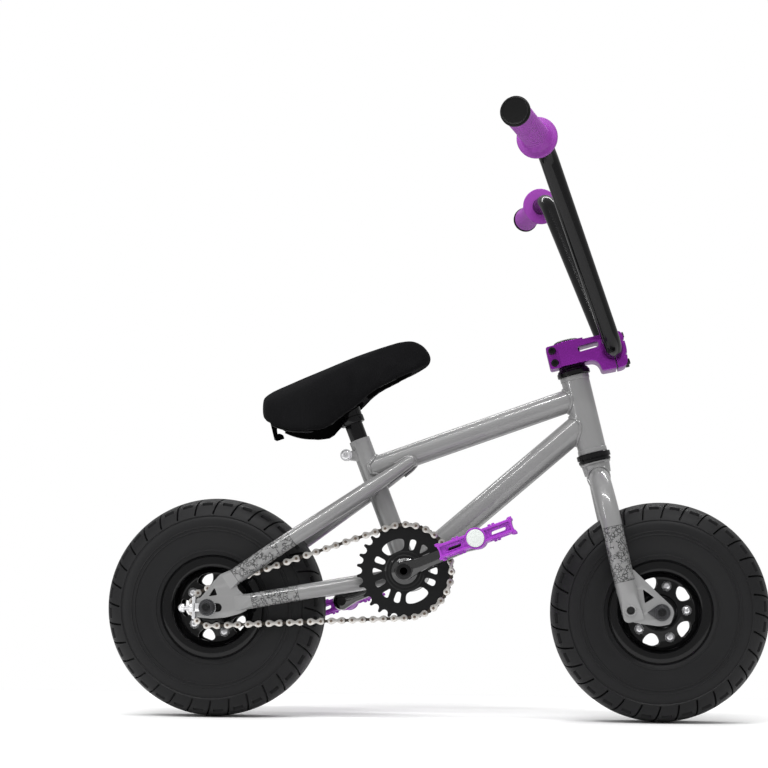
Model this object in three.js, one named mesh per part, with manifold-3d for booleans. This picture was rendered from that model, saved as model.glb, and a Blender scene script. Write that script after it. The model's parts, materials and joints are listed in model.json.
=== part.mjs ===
// Small BMX bike with fat tyres: millimetres, +X forwards, +Y to the rider's left, +Z up.
// The origin lies on the ground, half-way between the two axles.
import * as THREE from "three";
import { mergeVertices } from "three/addons/utils/BufferGeometryUtils.js";
import Module from "manifold-3d";

const wasm = await Module();
wasm.setup();

// ---------------------------------------------------------------- driving dimensions
const clearance = 0.3; // gap between pieces that touch
const slideClearance = 0.4; // seat post in its tube, bar in its clamp
const wheelbase = 548;
const tyreRadius = 134.5;
const tyreWidth = 86;
const treadFlat = 24; // width of the flat crown of the tread
const wheelSides = 24;

const rimLipRadius = 62;
const rimSeatRadius = 50.8;
const rimWall = 2.5;
const rimHalfWidth = 36;
const rimDiscOffset = 14.5; // middle of each disc, out from the wheel's middle plane
const rimDiscThick = 3;
const rimBoltCount = 5;
const rimBoltCircle = 33;
const rimBoltRadius = 3;
const rimBoltHeadRadius = 4.8;
const rimWindowInner = 27.5;
const rimWindowOuter = 43;
const hubRadius = 20;
const hubFlangeRadius = 26;
const axleRadius = 5;

const steerTilt = 14; // steering axis, degrees back from vertical
const forkOffset = 33.3;
const forkLegRadius = 12.7;
const tyreGap = 3.3; // between the tyre's side and each fork leg
const forkLegSpread = tyreWidth / 2 + tyreGap + forkLegRadius; // leg centre lines, out from the middle
const forkDropoutThick = 5;
const steererRadius = 14.3;
const headTubeWall = 1.9;
const headTubeRadius = steererRadius + 1.3 + headTubeWall;
const headTubeBottom = 209.3; // along the steering axis, from beside the front axle
const headTubeTop = 308.4;
const lowerCupHeight = 11;
const upperCupHeight = 6;

const stemReach = 53;
const stemWidth = 48;
const stemBottom = headTubeTop + 12.7; // room for the upper cup and its cover
const stemMiddle = stemBottom + 14.5;
const barDrop = 9.6; // bar centre below the stem's middle
const barRadius = 11.1;
const barBore = barRadius - 2.5;
const barBottomWidth = stemWidth + 48; // between the two lower bends
const barTopWidth = 310; // between the two upper bends
const barEndWidth = 610;
const barRise = 221;
const barSetback = 84.6;
const gripSweep = 11.6; // grips point this many degrees back
const gripUpsweep = 1.6;
const gripLength = 112;
const gripRadius = barRadius + 3.9;
const gripFlangeRadius = gripRadius + 9;
const gripFlangeThick = 4.5;
const barPlugRadius = gripRadius + 2;
const barPlugThick = 4;

const chainPitch = 12.7;
const chainLinks = 58;
const chainringTeeth = 28;
const cogTeeth = 11;
const chainLine = tyreWidth / 2 + 6.5; // middle of the chain, out from the middle of the bike
const sprocketThick = 2.6;
const rollerRadius = 3.6;
const toothGapRadius = 4.2;
const chainInnerHalf = 2.2;
const chainOuterHalf = 4.4;
const chainPlateHalf = 4;

const bottomBracketRise = 46.5; // bottom bracket above the rear axle
const bbShellRadius = 25;
const bbShellLength = 68;
const spindleRadius = 9.5;
const crankLength = 97.5;
const crankAngle = 23.2; // right arm, degrees up from forwards
const crankArmHeight = 17;
const crankArmInner = chainLine + 8.5;
const crankArmOuter = crankArmInner + 12;
const pedalAngle = 21;
const pedalLength = 95;
const pedalThick = 16;
const pedalInner = crankArmOuter + 14;
const pedalOuter = pedalInner + 68;
const pedalBossRadius = 12;
const pedalAxleRadius = 5;
const pedalCapRadius = 10.5;

const seatTubeTilt = 21.2; // degrees back from vertical
const seatPostRadius = 11.1;
const seatTubeRadius = seatPostRadius + slideClearance + 1.5;
const seatTubeLength = 175;
const seatPostBottom = seatTubeLength - 67; // along the seat tube, from the bottom bracket
const seatPostTop = seatTubeLength + 29;
const seatMount = seatTubeLength + 37; // where the seat's underside crosses the seat tube's axis
const seatNeckBottom = seatTubeLength + 21;
const seatNeckRadius = seatPostRadius + 3.9;
const topTubeRadius = 14.3;
const downTubeRadius = 15.9;
const seatStayRadius = 10;
const chainStayRadius = 9.5;
const rearDropout = tyreWidth / 2 + 22; // middle of each plate, out from the middle
const rearDropoutThick = 5;

// ---------------------------------------------------------------- places worked out
const rad = THREE.MathUtils.degToRad;
const rearX = -wheelbase / 2;
const frontX = wheelbase / 2;
const axleZ = tyreRadius;
const chainringPitchRadius = chainPitch / (2 * Math.sin(Math.PI / chainringTeeth));
const cogPitchRadius = chainPitch / (2 * Math.sin(Math.PI / cogTeeth));

// The centre distance at which the chain's whole number of links closes without slack.
function chainCentres() {
  const step = chainringPitchRadius - cogPitchRadius;
  let centres = chainPitch * (chainLinks / 2 - (chainringTeeth + cogTeeth) / 4);
  for (let i = 0; i < 40; i += 1) {
    const lean = Math.asin(step / centres);
    const onRing = (chainringTeeth * (Math.PI + 2 * lean)) / (2 * Math.PI);
    const onCog = (cogTeeth * (Math.PI - 2 * lean)) / (2 * Math.PI);
    const span = (chainPitch * (chainLinks - onRing - onCog)) / 2;
    centres = Math.hypot(span, step);
  }
  return centres;
}
const centreDistance = chainCentres();
const bbX = rearX + Math.sqrt(centreDistance ** 2 - bottomBracketRise ** 2);
const bbZ = axleZ + bottomBracketRise;

const v3 = (x, y, z) => new THREE.Vector3(x, y, z);
const v2 = (x, y) => new THREE.Vector2(x, y);

// ---------------------------------------------------------------- solids
function solid(geometry) {
  const bare = geometry.clone();
  bare.deleteAttribute("normal");
  bare.deleteAttribute("uv");
  const merged = mergeVertices(bare, 1e-4);
  return new wasm.Manifold(
    new wasm.Mesh({
      numProp: 3,
      vertProperties: new Float32Array(merged.attributes.position.array),
      triVerts: new Uint32Array(merged.index.array),
    }),
  );
}

function geometryOf(made) {
  const mesh = made.getMesh();
  const geometry = new THREE.BufferGeometry();
  geometry.setAttribute("position", new THREE.BufferAttribute(mesh.vertProperties, 3));
  geometry.setIndex(new THREE.BufferAttribute(mesh.triVerts, 1));
  geometry.computeVertexNormals();
  return geometry;
}

function joined(solids) {
  return solids.reduce((sum, next) => sum.add(next));
}

function cut(body, tools) {
  return tools.reduce((left, tool) => left.subtract(tool), body);
}

// A round bar along Y between y0 and y1.
function barY(radius, y0, y1, x, z, sides = 16) {
  const geometry = new THREE.CylinderGeometry(radius, radius, y1 - y0, sides);
  geometry.rotateY(Math.PI / sides);
  geometry.translate(x, (y0 + y1) / 2, z);
  return solid(geometry);
}

// A round bar or cone between two points.
function barBetween(from, to, radiusFrom, radiusTo = radiusFrom, sides = 16) {
  const along = to.clone().sub(from);
  const geometry = new THREE.CylinderGeometry(radiusTo, radiusFrom, along.length(), sides);
  const turn = new THREE.Quaternion().setFromUnitVectors(v3(0, 1, 0), along.clone().normalize());
  geometry.applyQuaternion(turn);
  const middle = from.clone().add(to).multiplyScalar(0.5);
  geometry.translate(middle.x, middle.y, middle.z);
  return solid(geometry);
}

function block(x0, x1, y0, y1, z0, z1) {
  const geometry = new THREE.BoxGeometry(x1 - x0, y1 - y0, z1 - z0);
  geometry.translate((x0 + x1) / 2, (y0 + y1) / 2, (z0 + z1) / 2);
  return solid(geometry);
}

// A plate with an outline in X and Z, between y0 and y1.
function plateY(outline, y0, y1, holes = []) {
  const clockwise = THREE.ShapeUtils.isClockWise(outline);
  const shape = new THREE.Shape(clockwise ? outline.slice().reverse() : outline);
  for (const hole of holes) shape.holes.push(new THREE.Path(hole));
  const geometry = new THREE.ExtrudeGeometry(shape, { depth: y1 - y0, bevelEnabled: false });
  geometry.rotateX(Math.PI / 2);
  geometry.translate(0, y1, 0);
  return solid(geometry);
}

// A turned piece about an axis along Y; its profile is a closed list of [radius, y].
function turnedY(profile, x, z, sides) {
  const points = profile.map(([radius, y]) => v2(radius, y));
  if (profile[0][0] > 0) points.push(points[0].clone());
  const geometry = new THREE.LatheGeometry(points, sides);
  geometry.rotateY(Math.PI / sides);
  geometry.translate(x, 0, z);
  const made = solid(geometry);
  return made.volume() < 0 ? solid(flipped(geometry)) : made;
}

// A turned piece about an axis along Z.
function turnedZ(profile, x, y, sides) {
  const points = profile.map(([radius, z]) => v2(radius, z));
  if (profile[0][0] > 0) points.push(points[0].clone());
  const geometry = new THREE.LatheGeometry(points, sides);
  geometry.rotateX(Math.PI / 2);
  geometry.translate(x, y, 0);
  const made = solid(geometry);
  return made.volume() < 0 ? solid(flipped(geometry)) : made;
}

function flipped(geometry) {
  const turned = geometry.clone();
  const index = turned.index.array;
  for (let i = 0; i < index.length; i += 3) {
    const first = index[i];
    index[i] = index[i + 1];
    index[i + 1] = first;
  }
  return turned;
}

function circle(radius, sides, x = 0, z = 0, start = 0) {
  return Array.from({ length: sides }, (_, i) => {
    const angle = start + (2 * Math.PI * i) / sides;
    return v2(x + radius * Math.cos(angle), z + radius * Math.sin(angle));
  });
}

// A path through stations that stay where they are put, so straight stretches need only their ends.
class Stations extends THREE.Curve {
  constructor(points) {
    super();
    this.points = points;
  }
  getPoint(t) {
    const place = t * (this.points.length - 1);
    const low = Math.min(Math.floor(place), this.points.length - 2);
    return this.points[low].clone().lerp(this.points[low + 1], place - low);
  }
  getPointAt(u) {
    return this.getPoint(u);
  }
  getTangentAt(u) {
    const last = this.points.length - 1;
    const here = Math.round(u * last);
    const ahead = this.points[Math.min(here + 1, last)].clone().sub(this.points[here]).normalize();
    const behind = this.points[here].clone().sub(this.points[Math.max(here - 1, 0)]).normalize();
    return ahead.add(behind).normalize();
  }
}

// Straight stretches between corners, each corner rounded with arcs of its own radius.
function roundedPath(corners, bendRadius, steps) {
  const points = [corners[0]];
  for (let i = 1; i < corners.length - 1; i += 1) {
    const towards = corners[i - 1].clone().sub(corners[i]).normalize();
    const onwards = corners[i + 1].clone().sub(corners[i]).normalize();
    const half = towards.angleTo(onwards) / 2;
    const reach = bendRadius / Math.tan(half);
    const start = corners[i].clone().addScaledVector(towards, reach);
    const end = corners[i].clone().addScaledVector(onwards, reach);
    const bisector = towards.clone().add(onwards).normalize();
    const centre = corners[i].clone().addScaledVector(bisector, bendRadius / Math.sin(half));
    const sweep = Math.PI - 2 * half;
    const axis = start.clone().sub(centre).cross(end.clone().sub(centre)).normalize();
    for (let k = 0; k <= steps; k += 1) {
      const spoke = start.clone().sub(centre).applyAxisAngle(axis, (sweep * k) / steps);
      points.push(centre.clone().add(spoke));
    }
  }
  points.push(corners[corners.length - 1]);
  return points;
}

function tubeAlong(points, radius, sides) {
  const geometry = new THREE.ExtrudeGeometry(new THREE.Shape(circle(radius, sides)), {
    steps: points.length - 1,
    extrudePath: new Stations(points),
    bevelEnabled: false,
  });
  return solid(geometry);
}

function smoothPath(points, steps) {
  return new THREE.CatmullRomCurve3(points, false, "centripetal").getSpacedPoints(steps);
}

function mirrored(points) {
  return points.map((p) => v3(p.x, -p.y, p.z));
}

// ---------------------------------------------------------------- materials
const paint = new THREE.MeshStandardMaterial({ color: 0x9c9c9c, roughness: 0.3, metalness: 0.1 });
const blackGloss = new THREE.MeshStandardMaterial({ color: 0x0c0c0c, roughness: 0.25 });
const blackPlastic = new THREE.MeshStandardMaterial({ color: 0x111111, roughness: 0.5 });
const rubber = new THREE.MeshStandardMaterial({ color: 0x2a2a2a, roughness: 0.8 });
const purpleMetal = new THREE.MeshStandardMaterial({ color: 0x5a1a78, roughness: 0.3, metalness: 0.8 });
const purplePlastic = new THREE.MeshStandardMaterial({ color: 0xa53cbe, roughness: 0.45 });
const chrome = new THREE.MeshStandardMaterial({ color: 0xcccccc, roughness: 0.2, metalness: 1 });
const nickel = new THREE.MeshStandardMaterial({ color: 0xb0aaa4, roughness: 0.35, metalness: 1 });
const fabric = new THREE.MeshStandardMaterial({ color: 0x0e0e0e, roughness: 0.95 });
const whitePlastic = new THREE.MeshStandardMaterial({ color: 0xeeeeee, roughness: 0.5 });

// ---------------------------------------------------------------- assembly
const bike = new THREE.Group();
const frontEnd = new THREE.Group(); // its Z is the steering axis, its X points forwards from it
frontEnd.rotation.y = -rad(steerTilt);
frontEnd.position.set(
  frontX - forkOffset * Math.cos(rad(steerTilt)),
  0,
  axleZ - forkOffset * Math.sin(rad(steerTilt)),
);
bike.add(frontEnd);

function place(parent, name, made, material) {
  const mesh = new THREE.Mesh(geometryOf(made), material);
  mesh.name = name;
  parent.add(mesh);
  return mesh;
}

// A point of the front end's own frame, in the bike's frame.
function steered(x, y, z) {
  return v3(x, y, z).applyEuler(frontEnd.rotation).add(frontEnd.position);
}

// A point on the seat tube's axis.
function seatLine(along) {
  return v3(bbX - along * Math.sin(rad(seatTubeTilt)), 0, bbZ + along * Math.cos(rad(seatTubeTilt)));
}

// ---------------------------------------------------------------- wheels
const tyreOuterProfile = [
  [1, treadFlat / tyreWidth],
  [0.965, 0.66],
  [0.88, 0.9],
  [0.76, 1],
  [0.62, 0.965],
];
const tyreInnerProfile = [
  [0.62, 0.78],
  [0.78, 0.8],
  [0.91, 0.3],
];

function tyre(prefix, x) {
  const side = (share) => (share * tyreWidth) / 2;
  const beadSide = rimHalfWidth - rimWall - clearance;
  const beadFoot = rimSeatRadius + clearance;
  const crown = tyreRadius / Math.cos(Math.PI / wheelSides);
  const outer = tyreOuterProfile.map(([r, w]) => [r * crown, side(w)]);
  outer.push([rimLipRadius + 2, rimHalfWidth + 1]);
  outer.push([rimLipRadius + 0.8, beadSide]);
  outer.push([beadFoot, beadSide], [beadFoot, beadSide - 6]);
  const inner = tyreInnerProfile.map(([r, w]) => [r * crown, side(w)]);
  const half = [...outer, ...inner];
  const otherHalf = half.map(([r, w]) => [r, -w]).reverse();
  const made = turnedY([...half, ...otherHalf], x, axleZ, wheelSides);
  place(bike, `${prefix}_tyre`, made, rubber);
}

// The inflated tube fills the tyre, clear of its wall.
function innerTube(prefix, x) {
  const gap = 1;
  const foot = rimSeatRadius + gap;
  const half = tyreInnerProfile.map(([r, w]) => [r * tyreRadius - gap, (w * tyreWidth) / 2 - gap]);
  const shoulder = [foot, rimHalfWidth - rimWall - 9];
  const right = [shoulder, ...half];
  const left = right.map(([r, w]) => [r, -w]).reverse();
  place(bike, `${prefix}_inner_tube`, turnedY([...right, ...left], x, axleZ, wheelSides), rubber);
}

// A window between two bolts: a rounded teardrop, blunt at one end.
function rimWindow(angle, x) {
  const middle = (rimWindowInner + rimWindowOuter) / 2;
  const reach = (rimWindowOuter - rimWindowInner) / 2;
  const corners = [
    [middle - reach, -9],
    [middle + 0.1 * reach, -15],
    [middle + reach, -15],
    [middle + reach, 4],
    [middle + 0.5 * reach, 14],
    [middle - 0.6 * reach, 9],
  ];
  return corners.map(([radius, turn]) => {
    const direction = angle + rad(turn);
    return v2(x + radius * Math.cos(direction), axleZ + radius * Math.sin(direction));
  });
}

function rimHalf(prefix, x, phase, side, name) {
  const inner = rimSeatRadius - rimWall;
  const disc0 = rimDiscOffset - rimDiscThick / 2;
  const disc1 = rimDiscOffset + rimDiscThick / 2;
  const profile = [
    [hubRadius + clearance, disc0],
    [inner, disc0],
    [inner, clearance / 2],
    [rimSeatRadius, clearance / 2],
    [rimSeatRadius, rimHalfWidth - rimWall],
    [rimLipRadius, rimHalfWidth - rimWall],
    [rimLipRadius, rimHalfWidth],
    [inner, rimHalfWidth],
    [inner, disc1],
    [hubRadius + clearance, disc1],
  ].map(([r, w]) => [r, side * w]);
  const windows = [];
  for (let i = 0; i < rimBoltCount; i += 1) {
    const angle = phase + (2 * Math.PI * i) / rimBoltCount;
    const between = angle + Math.PI / rimBoltCount;
    windows.push(plateY(rimWindow(between, x), -rimHalfWidth, rimHalfWidth));
    const boltX = x + rimBoltCircle * Math.cos(angle);
    const boltZ = axleZ + rimBoltCircle * Math.sin(angle);
    const holeRadius = rimBoltRadius + clearance;
    windows.push(barY(holeRadius, -rimHalfWidth, rimHalfWidth, boltX, boltZ, 6));
  }
  const made = cut(turnedY(profile, x, axleZ, wheelSides), windows);
  place(bike, `${prefix}_rim_${name}`, made, blackGloss);
}

// One bolt runs through both discs, with its head on the right and its nut on the left.
function rimBolt(prefix, x, phase, index) {
  const angle = phase + (2 * Math.PI * index) / rimBoltCount;
  const boltX = x + rimBoltCircle * Math.cos(angle);
  const boltZ = axleZ + rimBoltCircle * Math.sin(angle);
  const seat = rimDiscOffset + rimDiscThick / 2 + clearance;
  const head = [
    [0, -seat - 4.5],
    [rimBoltHeadRadius - 1.5, -seat - 4.5],
    [rimBoltHeadRadius, -seat - 2.5],
    [rimBoltHeadRadius, -seat],
    [rimBoltRadius, -seat],
    [rimBoltRadius, seat],
    [rimBoltHeadRadius, seat],
    [rimBoltHeadRadius, seat + 4],
    [0, seat + 4],
  ];
  place(bike, `${prefix}_rim_bolt_${index + 1}`, turnedY(head, boltX, boltZ, 6), chrome);
}

function hub(prefix, x, rightEnd, leftEnd) {
  const seat = rimDiscOffset - rimDiscThick / 2 - clearance;
  const flange = 3;
  const bore = axleRadius + clearance;
  const profile = [
    [bore, -rightEnd],
    [15, -rightEnd],
    [hubRadius, -rightEnd + 12],
    [hubRadius, -seat],
    [hubFlangeRadius, -seat],
    [hubFlangeRadius, -seat + flange],
    [hubRadius, -seat + flange],
    [hubRadius, seat - flange],
    [hubFlangeRadius, seat - flange],
    [hubFlangeRadius, seat],
    [hubRadius, seat],
    [hubRadius, leftEnd - 12],
    [15, leftEnd],
    [bore, leftEnd],
  ];
  place(bike, `${prefix}_hub`, turnedY(profile, x, axleZ, 16), blackGloss);
}

function wheel(prefix, x, phase, rightEnd, leftEnd) {
  tyre(prefix, x);
  innerTube(prefix, x);
  rimHalf(prefix, x, phase, -1, "right");
  rimHalf(prefix, x, phase, 1, "left");
  hub(prefix, x, rightEnd, leftEnd);
  for (let i = 0; i < rimBoltCount; i += 1) rimBolt(prefix, x, phase, i);
}

// A solid axle with a serrated nut against the outside of each dropout.
function axle(prefix, x, plateOuter, washer) {
  const nutSeat = plateOuter + washer + clearance;
  const axleEnd = nutSeat + 11;
  place(bike, `${prefix}_axle`, barY(axleRadius, -axleEnd, axleEnd, x, axleZ, 12), blackGloss);
  for (const [name, side] of [["right", -1], ["left", 1]]) {
    const ys = (near, far) => (side > 0 ? [nutSeat + near, nutSeat + far] : [-nutSeat - far, -nutSeat - near]);
    const flange = barY(10.5, ...ys(0, 2), x, axleZ, 16);
    const hexagon = barY(8.6, ...ys(1.5, 8.5), x, axleZ, 6);
    const bore = barY(axleRadius + clearance, ...ys(-1, 10), x, axleZ, 12);
    place(bike, `${prefix}_axle_nut_${name}`, cut(joined([flange, hexagon]), [bore]), blackGloss);
  }
}

// ---------------------------------------------------------------- chain and sprockets
// Places of the chain's pins in X and Z, one per link, going round clockwise seen from the right.
function chainPins() {
  const step = chainringPitchRadius - cogPitchRadius;
  const lean = Math.asin(step / centreDistance);
  const rise = Math.atan2(bottomBracketRise, bbX - rearX);
  const span = Math.sqrt(centreDistance ** 2 - step ** 2) / chainPitch;
  const onRing = (chainringTeeth * (Math.PI + 2 * lean)) / (2 * Math.PI);
  const onCog = (cogTeeth * (Math.PI - 2 * lean)) / (2 * Math.PI);
  const ringStart = rise + lean + Math.PI / 2;
  const cogStart = rise - lean - Math.PI / 2;
  const onCircle = (x, z, radius, angle) => v2(x + radius * Math.cos(angle), z + radius * Math.sin(angle));
  const at = (place) => {
    if (place < onRing) {
      const angle = ringStart - (2 * Math.PI * place) / chainringTeeth;
      return onCircle(bbX, bbZ, chainringPitchRadius, angle);
    }
    const below = place - onRing;
    if (below < span) {
      const from = onCircle(bbX, bbZ, chainringPitchRadius, cogStart);
      return from.lerp(onCircle(rearX, axleZ, cogPitchRadius, cogStart), below / span);
    }
    const round = below - span;
    if (round < onCog) {
      const angle = cogStart - (2 * Math.PI * round) / cogTeeth;
      return onCircle(rearX, axleZ, cogPitchRadius, angle);
    }
    const from = onCircle(rearX, axleZ, cogPitchRadius, ringStart);
    const share = Math.min((round - onCog) / span, 1);
    return from.lerp(onCircle(bbX, bbZ, chainringPitchRadius, ringStart), share);
  };
  return {
    pins: Array.from({ length: chainLinks }, (_, i) => at(i + 0.5)),
    ringPhase: ringStart - (2 * Math.PI * 0.5) / chainringTeeth,
    cogPhase: cogStart - (2 * Math.PI * (Math.ceil(onRing + span - 0.5) + 0.5 - onRing - span)) / cogTeeth,
  };
}
const chainPlan = chainPins();

// The outline of a sprocket whose tooth gaps hold rollers at the pitch radius.
function toothed(teeth, pitchRadius, phase, x, z) {
  const outline = [];
  const root = pitchRadius - toothGapRadius;
  const floor = 2.2 / pitchRadius;
  const flank = toothGapRadius / pitchRadius + 0.01;
  const tip = flank + (Math.PI / teeth - flank) * 0.55;
  for (let i = 0; i < teeth; i += 1) {
    const gap = phase + (2 * Math.PI * i) / teeth;
    const corners = [
      [-flank, pitchRadius + 0.4],
      [-floor, root],
      [floor, root],
      [flank, pitchRadius + 0.4],
      [tip, pitchRadius + 3.6],
      [(2 * Math.PI) / teeth - tip, pitchRadius + 3.6],
    ];
    for (const [turn, radius] of corners) {
      outline.push(v2(x + radius * Math.cos(gap + turn), z + radius * Math.sin(gap + turn)));
    }
  }
  return outline;
}

// A window in the chainring between two radii: its corners are given as shares of the ring's width.
function ringWindow(middle, corners) {
  const inner = 27.5;
  const outer = 40.5;
  return corners.map(([turn, share]) => {
    const radius = inner + share * (outer - inner);
    const angle = rad(middle + turn);
    return v2(bbX + radius * Math.cos(angle), bbZ + radius * Math.sin(angle));
  });
}

function chainring() {
  const bean = [[-23, 0.15], [-24, 0.85], [-12, 1], [0, 1], [12, 1], [24, 0.85], [23, 0.15], [11, 0], [0, 0], [-11, 0]];
  const slot = [[-6.5, 0.05], [-6, 0.95], [6, 0.95], [6.5, 0.05]];
  const triangle = [[-7, 0.95], [7, 0.95], [0, 0.1]];
  const windows = [];
  for (const half of [0, 180]) {
    windows.push(ringWindow(116 + half, bean));
    windows.push(ringWindow(158 + half, slot));
    windows.push(ringWindow(181 + half, triangle));
    windows.push(ringWindow(206 + half, slot));
    windows.push(ringWindow(231 + half, triangle));
    windows.push(ringWindow(255 + half, slot));
  }
  const outline = toothed(chainringTeeth, chainringPitchRadius, chainPlan.ringPhase, bbX, bbZ);
  windows.push(circle(spindleRadius + clearance, 16, bbX, bbZ));
  const near = -chainLine - sprocketThick / 2;
  place(bike, "chainring", plateY(outline, near, near + sprocketThick, windows), blackGloss);
}

function rearCog() {
  const outline = toothed(cogTeeth, cogPitchRadius, chainPlan.cogPhase, rearX, axleZ);
  const near = -chainLine - sprocketThick / 2;
  const plate = plateY(outline, near, near + sprocketThick);
  const driver = barY(13, near - 3, near + sprocketThick + 2, rearX, axleZ, 16);
  const bore = barY(axleRadius + clearance, -tyreWidth, 0, rearX, axleZ, 12);
  place(bike, "rear_cog", cut(joined([plate, driver]), [bore]), nickel);
}

// Two rows of side plates drawn as closed bands, joined by one roller per link.
function chain() {
  const pins = chainPlan.pins;
  const around = (offset) =>
    pins.map((pin, i) => {
      const before = pins[(i + pins.length - 1) % pins.length];
      const after = pins[(i + 1) % pins.length];
      const along = after.clone().sub(before).normalize();
      return v2(pin.x - along.y * offset, pin.y + along.x * offset);
    });
  const parts = [];
  for (const [y0, y1] of [[-chainOuterHalf, -chainInnerHalf], [chainInnerHalf, chainOuterHalf]]) {
    const band = plateY(around(chainPlateHalf), y0 - chainLine, y1 - chainLine, [around(-chainPlateHalf)]);
    parts.push(band);
  }
  for (const pin of pins) {
    const reach = chainInnerHalf + 0.5;
    parts.push(barY(rollerRadius, -chainLine - reach, -chainLine + reach, pin.x, pin.y, 4));
  }
  place(bike, "chain", joined(parts), nickel);
}

// ---------------------------------------------------------------- cranks and pedals
function crankArm(name, side) {
  const angle = rad(crankAngle) + (side > 0 ? Math.PI : 0);
  const along = v2(Math.cos(angle), Math.sin(angle));
  const across = v2(-along.y, along.x);
  const end = v2(bbX, bbZ).addScaledVector(along, crankLength);
  const outline = [];
  const half = crankArmHeight / 2;
  const endRadius = 11.5;
  for (const [centre, from, radius] of [[end, -90, endRadius], [v2(bbX, bbZ), 90, half + 4]]) {
    for (let k = 0; k <= 6; k += 1) {
      const turn = rad(from + 30 * k);
      const spoke = along.clone().multiplyScalar(radius * Math.cos(turn));
      spoke.addScaledVector(across, radius * Math.sin(turn));
      outline.push(centre.clone().add(spoke));
    }
  }
  const ys = (near, far) => (side > 0 ? [near, far] : [-far, -near]);
  const bossInner = side > 0 ? bbShellLength / 2 + 8 : chainLine + sprocketThick / 2 + clearance;
  const arm = plateY(outline, ...ys(crankArmInner, crankArmOuter));
  const boss = barY(16, ...ys(bossInner, crankArmOuter + 1), bbX, bbZ, 20);
  const bore = barY(spindleRadius + clearance, ...ys(0, 2 * crankArmOuter), bbX, bbZ, 16);
  const eye = barY(pedalAxleRadius + 1 + clearance, ...ys(0, 2 * crankArmOuter), end.x, end.y, 12);
  place(bike, `crank_arm_${name}`, cut(joined([arm, boss]), [bore, eye]), blackGloss);
  return end;
}

function pedal(name, side, at) {
  const group = new THREE.Group();
  group.position.set(at.x, 0, at.y);
  group.rotation.y = -rad(pedalAngle);
  bike.add(group);
  const ys = (near, far) => (side > 0 ? [near, far] : [-far, -near]);
  const half = pedalLength / 2;
  const thick = pedalThick / 2;
  const rim = 9;
  const outline = [
    v2(-half, -thick + 3), v2(-half + 4, -thick), v2(half - 4, -thick), v2(half, -thick + 3),
    v2(half, thick - 3), v2(half - 4, thick), v2(-half + 4, thick), v2(-half, thick - 3),
  ];
  const body = plateY(outline, ...ys(pedalInner, pedalOuter));
  const boss = barY(pedalBossRadius, ...ys(pedalInner - 1, pedalOuter), 0, 0, 16);
  const tools = [barY(pedalAxleRadius + clearance, ...ys(pedalInner - 5, pedalOuter + 5), 0, 0, 12)];
  for (const end of [-1, 1]) {
    const xs = end > 0 ? [pedalBossRadius + 3, half - rim] : [rim - half, -pedalBossRadius - 3];
    tools.push(block(...xs, ...ys(pedalInner + rim, pedalOuter - rim), -pedalThick, pedalThick));
    const slot = end > 0 ? [18, 37] : [-37, -18];
    tools.push(block(...slot, ...ys(pedalInner - 5, pedalOuter + 5), -3, 3));
  }
  place(group, `pedal_${name}`, cut(joined([body, boss]), tools), purplePlastic);
  const cap = barY(pedalCapRadius, ...ys(pedalOuter + clearance, pedalOuter + 3), 0, 0, 20);
  place(group, `pedal_cap_${name}`, cap, whitePlastic);
  const thread = barY(pedalAxleRadius + 1, ...ys(crankArmInner, pedalInner - 3), 0, 0, 12);
  const shaft = barY(pedalAxleRadius, ...ys(pedalInner - 4, pedalOuter - 1), 0, 0, 12);
  place(group, `pedal_axle_${name}`, joined([thread, shaft]), nickel);
}

function bottomBracket() {
  const cupFace = bbShellLength / 2 + clearance;
  for (const [name, side] of [["right", -1], ["left", 1]]) {
    const profile = [
      [spindleRadius + clearance, side * cupFace],
      [bbShellRadius - 1, side * cupFace],
      [bbShellRadius - 2, side * (cupFace + 3.5)],
      [spindleRadius + clearance, side * (cupFace + 3.5)],
    ];
    place(bike, `bb_cup_${name}`, turnedY(profile, bbX, bbZ, 20), blackGloss);
  }
  const end = crankArmOuter + 2;
  place(bike, "crank_spindle", barY(spindleRadius, -end, end, bbX, bbZ, 16), blackGloss);
}

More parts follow.
